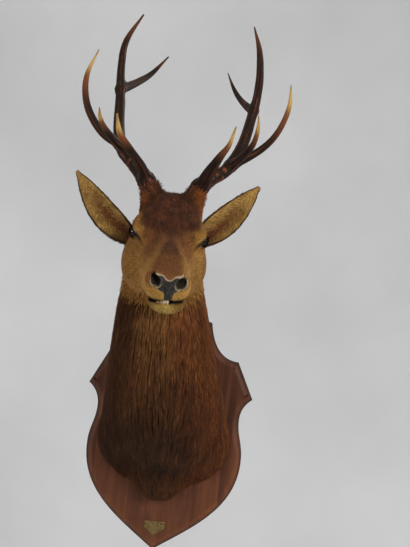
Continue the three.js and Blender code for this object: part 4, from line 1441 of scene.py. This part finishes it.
def make_antler(side, tines):
    """Furrows run along each beam and tine, pearls crowd the base, and the tips are smooth."""
    shape = Antler(tines)
    points = np.vstack([line for line, _, _ in shape.lines.values()])
    low, high = points.min(0) - 30, points.max(0) + 30
    axes = tuple(spaced(low[k], (high[k], ANTLER_SPACING)) for k in range(3))
    verts, quads = surface_nets(sample(shape, axes, 3), axes)
    verts = smooth_mesh(verts, quads, 0.4)
    normal = unit(slope_of(shape, verts, 0.5)[1])
    best = np.full(len(verts), 1e9)
    looks = np.zeros((4, len(verts)))
    for seed, (name, (line, _, run)) in enumerate(shape.lines.items()):
        d, i, along = shape.tube(name, verts)
        first, second = turning_frames(line)
        q = verts - line[i]
        angle = np.arctan2((q * second[i]).sum(1), (q * first[i]).sum(1))
        to_tip = run[-1] - along
        x, y = np.cos(angle), np.sin(angle)
        wander = 1.1 * noise(np.stack([x, y, along / 240], 1), 0.8, 70 + seed)
        furrow = np.sin(7 * angle + 3 * wander) * 0.6 + np.sin(12 * angle - 4 * wander + 1) * 0.4
        fine = noise(np.stack([x * 3.2, y * 3.2, along / 55], 1), 0.55, 80 + seed)
        height = (0.85 * furrow + 0.6 * fine) * fade(40, 150, to_tip)
        if name == "beam":
            pearl = np.maximum(noise(verts, 7, 90), -0.1)
            height = height + 2.0 * pearl * fade(300, 60, along)
        reach, strength = IVORY[name]
        ragged = to_tip + 7 * fine + 5 * furrow
        pale = fade(reach * 0.62, reach * 0.34, ragged) * strength
        brown = fade(reach * 1.2, reach * 0.6, ragged) * (0.45 + 0.4 * strength)
        point = fade(26, 6, to_tip) * (0.95 if name == "crown" else 0.35)
        looks = np.where(d < best, [height, pale, brown, point], looks)
        best = np.minimum(d, best)
    relief, ivory, warm, dark_tip = looks
    verts = verts + normal * (0.75 * relief)[:, None]
    tone = mix(paint(32, 20, 13), paint(116, 64, 38), fade(0.15, 1.2, relief) * 0.9)
    tone = mix(tone, paint(20, 14, 11), fade(-0.1, -1.1, relief))
    tone = mix(tone, paint(34, 22, 17), fade(1030, 960, verts[:, 2]) * 0.4)
    tone = mix(tone, paint(112, 64, 34), warm)
    tone = mix(tone, paint(172, 138, 80), ivory)
    obj = face_out(make_object(f"antler_{side}", verts, quads))
    set_colour(obj, mix(tone, paint(36, 26, 18), dark_tip))
    return obj


# ------------------------------------------------------------------ shield and label
# each stretch of the edge from the lower point up: the points that pull its curve, and its end
SHIELD_EDGE = [
    ([[100, 70], [223, 134]], [220, 272]),
    ([[220, 315], [203, 335]], [203, 378]),
    ([[203, 405], [214, 425]], [235, 441]),
    ([], [185, 542]),
    ([[114, 544]], [98, 646]),
    ([[46, 661]], [0, 664]),
]
SHIELD_CURVE_STEPS, SHIELD_LINE_STEPS = 28, 6
# mouldings: inset from the outline and height above the back
SHIELD_MOULDING = [
    *[(0, 0), (0, 9.5), (0.4, 10.6), (1.4, 11.4), (2.6, 11.8)],
    *[(3.4, 12.4), (4.2, 14.0), (5.4, 16.0), (7.2, 18.0), (9.4, 19.4)],
    *[(12, 20.6), (14.6, 21.4), (16.4, 21.9), (17.4, BOARD_THICK), (20, BOARD_THICK)],
]
LABEL_BACK = BOARD_THICK + 0.3


def shield_outline():
    half = [np.zeros(2)]
    for pulls, to in SHIELD_EDGE:
        p = [half[-1], *[np.array(q, float) for q in pulls], np.array(to, float)]
        steps = SHIELD_CURVE_STEPS if pulls else SHIELD_LINE_STEPS
        for t in np.arange(1, steps + 1) / steps:
            q = p
            while len(q) > 1:
                q = [a + (b - a) * t for a, b in zip(q, q[1:])]
            half.append(q[0])
    right = np.array(half)
    return np.vstack([right, right[1:-1][::-1] * [-1, 1]])


def inset(outline, distance):
    """A closed outline drawn in by a distance."""
    before = unit(outline - np.roll(outline, 1, axis=0))
    after = unit(np.roll(outline, -1, axis=0) - outline)
    a = np.stack([-before[:, 1], before[:, 0]], 1)
    b = np.stack([-after[:, 1], after[:, 0]], 1)
    miter = unit(a + b)
    return outline + miter * (distance / np.maximum((miter * b).sum(1), 0.35))[:, None]


def moulded_plate(name, outline, moulding, back=0.0):
    """A flat plate whose edge follows a moulding, and how far each vertex lies in from the outline."""
    n = len(outline)
    layers = []
    for distance, height in moulding:
        q = inset(outline, distance)
        layers.append(np.stack([q[:, 0], np.full(n, back + height), q[:, 1]], 1))
    faces = ring_faces(len(moulding), n).tolist()
    faces += [list(range(n))[::-1], list(range((len(moulding) - 1) * n, len(moulding) * n))]
    obj = face_out(make_object(name, np.concatenate(layers), faces))
    obj.data.set_sharp_from_angle(angle=math.radians(38))
    return obj, np.repeat([d for d, _ in moulding], n)


def make_shield():
    obj, rim = moulded_plate("shield", shield_outline(), SHIELD_MOULDING)
    set_colour(obj, np.tile(np.clip(rim / 20, 0, 1), (3, 1)).T, "rim")
    return obj


LABEL = {"width": 57, "side": 17, "height": 38, "top": 78, "thick": 1.6}
PIN = {"across": 20, "below": 8.5, "radius": 1.7}
PIN_DOME = [(0, 0), (0.05, 0.35), (0.4, 0.75), (0.9, 1.0), (1.4, 1.08)]
LABEL_PROFILE = [
    *[(0, 0), (0, 1.0), (0.5, 1.45), (1.1, LABEL["thick"])],
    *[(3.2, LABEL["thick"]), (3.5, 1.15), (4.0, 1.15), (4.3, LABEL["thick"])],
]


def make_label():
    """A bare pentagon of brass with an engraved border line."""
    half, top = LABEL["width"] / 2, LABEL["top"]
    low = top - LABEL["side"]
    outline = np.array([[0, top - LABEL["height"]], [half, low], [half, top], [-half, top], [-half, low]])
    return moulded_plate("label", outline, LABEL_PROFILE, LABEL_BACK)[0]


def make_pin(name, across):
    """A small domed brass pin."""
    turn = np.arange(16) / 16 * 2 * math.pi
    middle = [across, LABEL["top"] - PIN["below"]]
    outline = middle + PIN["radius"] * np.stack([np.cos(turn), np.sin(turn)], 1)
    return moulded_plate(name, outline, PIN_DOME, LABEL_BACK + LABEL["thick"])[0]


# ------------------------------------------------------------------ materials
class Nodes:
    """A node material with a Principled shader, built by short calls."""

    def __init__(self, name, **values):
        self.material = bpy.data.materials.new(name)
        self.material.use_nodes = True
        self.tree = self.material.node_tree
        self.shader = self.tree.nodes["Principled BSDF"]
        self.set(**values)

    def feed(self, socket, value):
        """Links another node's output to a socket, or sets the socket's own value."""
        if isinstance(value, bpy.types.NodeSocket):
            self.tree.links.new(value, socket)
        else:
            socket.default_value = value

    def set(self, **values):
        for key, value in values.items():
            self.feed(self.shader.inputs[key.replace("_", " ")], value)

    def add(self, kind, output, inputs=None, **settings):
        """A node with its inputs fed, as the socket of its named output."""
        node = self.tree.nodes.new(kind)
        for key, value in settings.items():
            setattr(node, key, value)
        for key, value in (inputs or {}).items():
            self.feed(node.inputs[key], value)
        return node.outputs[output]

    def attribute(self, name):
        return self.add("ShaderNodeAttribute", "Color", attribute_name=name)

    def place(self, scale):
        where = self.add("ShaderNodeTexCoord", "Object")
        return self.add("ShaderNodeMapping", "Vector", {"Vector": where, "Scale": scale})

    def noise(self, scale, detail=4.0, rough=0.6, distortion=0.0):
        inputs = {"Vector": self.place(scale), "Scale": 1.0, "Detail": detail, "Roughness": rough}
        return self.add("ShaderNodeTexNoise", "Fac", {**inputs, "Distortion": distortion})

    def ramp(self, value, *stops):
        """Colours over a value; a stop's colour may be a single number for a grey."""
        colour = self.add("ShaderNodeValToRGB", "Color", {"Fac": value})
        elements = colour.node.color_ramp.elements
        while len(elements) < len(stops):
            elements.new(0.5)
        for element, (at, shade) in zip(elements, stops):
            element.position = at
            element.color = (*(np.ones(3) * shade), 1)
        return colour

    def span(self, value, low, high):
        return self.add("ShaderNodeMapRange", "Result", {"Value": value, "To Min": low, "To Max": high})

    def multiply(self, a, b, factor=1.0):
        """b laid over the colour a."""
        inputs = {0: factor, 6: a, 7: b}
        return self.add("ShaderNodeMix", 2, inputs, data_type="RGBA", blend_type="MULTIPLY")

    def bump(self, height, strength, distance_mm):
        inputs = {"Strength": strength, "Distance": distance_mm * MM, "Height": height}
        self.set(Normal=self.add("ShaderNodeBump", "Normal", inputs))


HAIR = {"grain": (5.0, 0.65), "shades": [(0.25, 0.62), (0.5, 1.0), (0.78, 1.35)], "rough": (0.6, 0.85)}
HAIR_SHADER = {"Roughness": 0.7, "Specular_IOR_Level": 0.12}
# "scale" and "grain": a noise's scale, and its detail, roughness and distortion
# "shades": what the noise does to the markings; "rough": the roughness that it spans
# "bump": how strong, and how high in millimetres
SURFACES = {
    "mane_hair": {**HAIR, "scale": (700, 700, 120), "bump": (0.5, 0.5), "shader": HAIR_SHADER},
    "face_hair": {**HAIR, "scale": (900, 900, 900), "bump": (0.5, 0.3), "shader": HAIR_SHADER},
    "skin_hair": {
        "scale": (520, 520, 520),
        "grain": (6.0, 0.7),
        "shades": [(0.3, 0.7), (0.55, 1.0), (0.8, 1.25)],
        "rough": (0.7, 0.9),
        "bump": (0.6, 0.8),
        "shader": {"Roughness": 0.8, "Specular_IOR_Level": 0.1},
    },
    "nose_skin": {
        "scale": (380, 380, 380),
        "grain": (4.0, 0.6),
        "shades": [(0.32, 0.45), (0.5, 1.0), (0.7, 1.3)],
        "rough": (0.38, 0.6),
        "bump": (0.8, 1.2),
        "shader": {"Roughness": 0.5, "Specular_IOR_Level": 0.2},
    },
    "eye_glass": {
        "scale": (260, 260, 260),
        "grain": (3.0, 0.5),
        "shades": [(0.35, 0.9), (0.65, 1.08)],
        "rough": (0.04, 0.12),
        "shader": {"Metallic": 1.0, "Roughness": 0.06, "Specular_Tint": (0.1, 0.1, 0.1, 1)},
    },
    "tooth_enamel": {
        "scale": (420, 420, 420),
        "grain": (4.0, 0.6),
        "shades": [(0.3, 0.8), (0.6, 1.04)],
        "rough": (0.28, 0.5),
        "bump": (0.3, 0.3),
        "shader": {"Roughness": 0.35, "Specular_IOR_Level": 0.35},
    },
    "antler_bone": {
        "scale": (420, 420, 90),
        "grain": (6.0, 0.7, 0.4),
        "shades": [(0.28, 0.62), (0.5, 1.0), (0.75, 1.3)],
        "rough": (0.5, 0.75),
        "bump": (0.45, 0.7),
        "shader": {"Roughness": 0.6, "Specular_IOR_Level": 0.11},
    },
}


def marked_material(name):
    """A piece's own markings, varied by one noise that also roughens and dents it."""
    look = SURFACES[name]
    m = Nodes(name, **look["shader"])
    grain = m.noise(look["scale"], *look["grain"])
    m.set(Base_Color=m.multiply(m.attribute("tone"), m.ramp(grain, *look["shades"])))
    m.set(Roughness=m.span(grain, *look["rough"]))
    if "bump" in look:
        m.bump(grain, *look["bump"])
    return m.material


WOOD_FIGURE = [(0.25, (54, 29, 18)), (0.45, (82, 46, 28)), (0.62, (98, 57, 34)), (0.8, (70, 38, 24))]
# by the inset from the outline: painted shade on the shield's outer edge, then a painted highlight along
# the moulding band
WOOD_EDGE_SHADE_AND_HIGHLIGHT = [(0.0, 0.45), (0.18, 0.6), (0.45, 1.25), (0.8, 1.2), (1.0, 1.0)]


def wood_material():
    """Figured mahogany with fine grain and pores; painted shade on the outer edge and towards the top, and
    a painted highlight along the moulding.
    """
    m = Nodes("mahogany", Specular_IOR_Level=0.14, Coat_Weight=0.03, Coat_Roughness=0.35)
    figure = m.noise((26, 26, 2.2), 5.0, 0.55, 0.8)
    grain = m.noise((420, 420, 9), 4.0, 0.6, 0.2)
    pores = m.noise((1500, 1500, 40), 2.0, 0.5)
    base = m.ramp(figure, *[(at, paint(*colour)) for at, colour in WOOD_FIGURE])
    base = m.multiply(base, m.ramp(grain, (0.3, 0.72), (0.6, 1.08), (0.8, 1.2)))
    base = m.multiply(base, m.ramp(pores, (0.30, 0.6), (0.42, 1.0)))
    base = m.multiply(base, m.ramp(m.attribute("rim"), *WOOD_EDGE_SHADE_AND_HIGHLIGHT))
    # painted shade: the board darkens towards its top
    height = m.add("ShaderNodeSeparateXYZ", "Z", {0: m.place((1, 1, 1))})
    m.set(Base_Color=m.multiply(base, m.ramp(height, (0.0, 1.0), (0.26, 0.72))))
    m.set(Roughness=m.span(grain, 0.42, 0.6))
    m.bump(pores, 0.25, 0.3)
    return m.material


def brass_material():
    m = Nodes("old_brass", Metallic=1.0, Roughness=0.4)
    stain = m.noise((160, 160, 160), 5.0, 0.65)
    scratch = m.noise((1800, 1800, 120), 3.0, 0.5)
    base = m.ramp(stain, (0.3, paint(74, 60, 38)), (0.5, paint(128, 106, 68)), (0.75, paint(156, 134, 88)))
    m.set(Base_Color=m.multiply(base, m.ramp(scratch, (0.3, 0.3), (0.7, 0.75)), 0.35))
    m.set(Roughness=m.span(stain, 0.62, 0.34))
    m.bump(scratch, 0.2, 0.1)
    return m.material


def stage_material():
    m = Nodes("studio_paper", Roughness=0.9, Specular_IOR_Level=0.1)
    cloud = m.noise((0.6, 0.6, 0.6), 3.0, 0.5)
    m.set(Base_Color=m.ramp(cloud, (0.3, (0.72, 0.726, 0.742)), (0.7, (0.85, 0.856, 0.874))))
    return m.material


# ------------------------------------------------------------------ stage, lights, camera
STAGE = {"floor": -1.5, "flat": 4.4, "curve": 1.4, "top": 4.6, "sides": 96}


def make_stage():
    """A round studio sweep: a pale floor that curves up into a wall on every side."""
    profile = [(STAGE["flat"], STAGE["floor"])]
    for a in np.linspace(0, math.pi / 2, 15)[1:]:
        across = STAGE["flat"] + STAGE["curve"] * math.sin(a)
        profile.append((across, STAGE["floor"] + STAGE["curve"] * (1 - math.cos(a))))
    profile.append((STAGE["flat"] + STAGE["curve"], STAGE["top"]))
    turn = np.arange(STAGE["sides"]) / STAGE["sides"] * 2 * math.pi
    verts = [(r * math.cos(a), r * math.sin(a), z) for r, z in profile for a in turn]
    faces = ring_faces(len(profile), len(turn))[:, ::-1].tolist()
    middle = len(verts)
    verts.append((0.0, 0.0, STAGE["floor"]))
    faces += [[middle, j, (j + 1) % len(turn)] for j in range(len(turn))]
    mesh = bpy.data.meshes.new("studio_sweep")
    mesh.from_pydata(verts, [], faces)
    mesh.polygons.foreach_set("use_smooth", np.ones(len(mesh.polygons), bool))
    mesh.materials.append(stage_material())
    add_object("studio_sweep", mesh)


WARM, WHITE = (1.0, 0.985, 0.94), (1.0, 1.0, 1.0)
FACE_HEIGHT = (0, -0.3, 0.3)
LIGHTS = {
    "key": {"place": (1.9, -3.1, 1.5), "to": FACE_HEIGHT, "size": 1.2, "power": 77, "colour": WARM},
    "side": {"place": (3.2, -1.5, 0.5), "to": FACE_HEIGHT, "size": 0.55, "power": 26, "colour": WARM},
    "fill": {"place": (-2.6, -2.5, -0.05), "to": FACE_HEIGHT, "size": 0.7, "power": 30, "colour": WARM},
    "back": {"place": (1.3, 2.8, 2.8), "to": (0.3, 0.9, 0.5), "size": 2.4, "power": 46, "colour": WHITE},
}
SKY = {"colour": (1.0, 0.985, 0.95, 1), "strength": 0.57}


def make_lights():
    for name, lamp in LIGHTS.items():
        light = bpy.data.lights.new(name, "AREA")
        light.shape = "SQUARE"
        light.size = lamp["size"]
        light.energy = lamp["power"]
        light.color = lamp["colour"]
        obj = add_object(name, light)
        obj.location = lamp["place"]
        way = Vector(lamp["to"]) - Vector(lamp["place"])
        obj.rotation_euler = way.to_track_quat("-Z", "Y").to_euler()
    world = bpy.data.worlds.new("soft_sky")
    world.use_nodes = True
    background = world.node_tree.nodes["Background"]
    background.inputs["Color"].default_value = SKY["colour"]
    background.inputs["Strength"].default_value = SKY["strength"]
    bpy.context.scene.world = world
    bpy.context.scene.view_settings.view_transform = "Standard"


SENSOR = 36
PHOTO = {"width": 547, "focal": 863}  # pixels
CAMERA = {"lens": PHOTO["focal"] / PHOTO["width"] * SENSOR, "place": (0.2558, -2.48, 0.5033 - HANG_UP * MM)}
CAMERA_TURN = {"yaw": 4.5, "pitch": 6.5, "roll": 6.4}


def make_camera():
    """In front of the mount, a little to the right, looking up; its roll makes the mount lean."""
    yaw, pitch, roll = (math.radians(CAMERA_TURN[k]) for k in ("yaw", "pitch", "roll"))
    forward = Vector((-math.sin(yaw) * math.cos(pitch), math.cos(yaw) * math.cos(pitch), math.sin(pitch)))
    right = forward.cross(Vector((0, 0, 1))).normalized()
    up = right.cross(forward)
    tilted_right = math.cos(roll) * right + math.sin(roll) * up
    tilted_up = -math.sin(roll) * right + math.cos(roll) * up
    data = bpy.data.cameras.new("camera")
    data.lens = CAMERA["lens"]
    data.sensor_width = SENSOR
    data.clip_start, data.clip_end = 0.05, 40
    obj = add_object("camera", data)
    turn = Matrix((tilted_right, tilted_up, -forward)).transposed()
    obj.matrix_world = Matrix.Translation(CAMERA["place"]) @ turn.to_4x4()
    bpy.context.scene.camera = obj


# ------------------------------------------------------------------ the whole mount
def finish_piece(obj, material, slot, *nodes):
    """Gives a piece its material, hangs it on the root and hides the solids whose place it takes; slot is
    not used.
    """
    obj.data.materials.clear()
    obj.data.materials.append(material)
    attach(obj, "root")
    if nodes:
        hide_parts(*nodes)


BEAM_NODES = ["beam_lower", "beam_middle", "beam_upper"]
TINE_NODES = ["brow_tine", "bez_tine", "trez_tine", "crown_tine"]
FLESH_NODES = ["shoulders", "neck", "head", "muzzle", "lower_jaw", "ear_right", "ear_left"]


def build():
    make_camera()
    make_lights()
    make_stage()

    brass = brass_material()
    finish_piece(make_shield(), wood_material(), "board_wood", "board")
    finish_piece(make_label(), brass, "label_brass", "label_plate")
    for i, across in enumerate((-PIN["across"], PIN["across"])):
        finish_piece(make_pin(f"label_pin_{i + 1}", across), brass, "label_brass")

    bone = marked_material("antler_bone")
    for side, tines in ANTLERS.items():
        nodes = [f"antler_{side}_{part}" for part in BEAM_NODES + TINE_NODES]
        finish_piece(make_antler(side, tines), bone, "antler", *nodes)

    glass = marked_material("eye_glass")
    for name, side in SIDES.items():
        finish_piece(make_eye(f"glass_eye_{name}", side), glass, "eye_glass", f"eye_{name}")
    finish_piece(make_nose(), marked_material("nose_skin"), "nose_skin", "nose_pad")
    finish_piece(make_incisors(), marked_material("tooth_enamel"), "antler")

    hide, body = make_skin()
    finish_piece(hide, marked_material("skin_hair"), "mane", *FLESH_NODES)
    long_hair, short_hair = marked_material("mane_hair"), marked_material("face_hair")
    for piece in make_mane(body):
        finish_piece(piece, long_hair, "mane")
    short_coats = make_face_coat(body) + [make_crown_tufts(body)]
    short_coats += [make_lashes(f"lashes_{name}", side) for name, side in SIDES.items()]
    short_coats += [make_ear_coat(f"coat_ear_{name}", ear) for name, ear in EARS.items()]
    for piece in short_coats:
        finish_piece(piece, short_hair, "face_coat")


build()
bpy.context.view_layer.update()
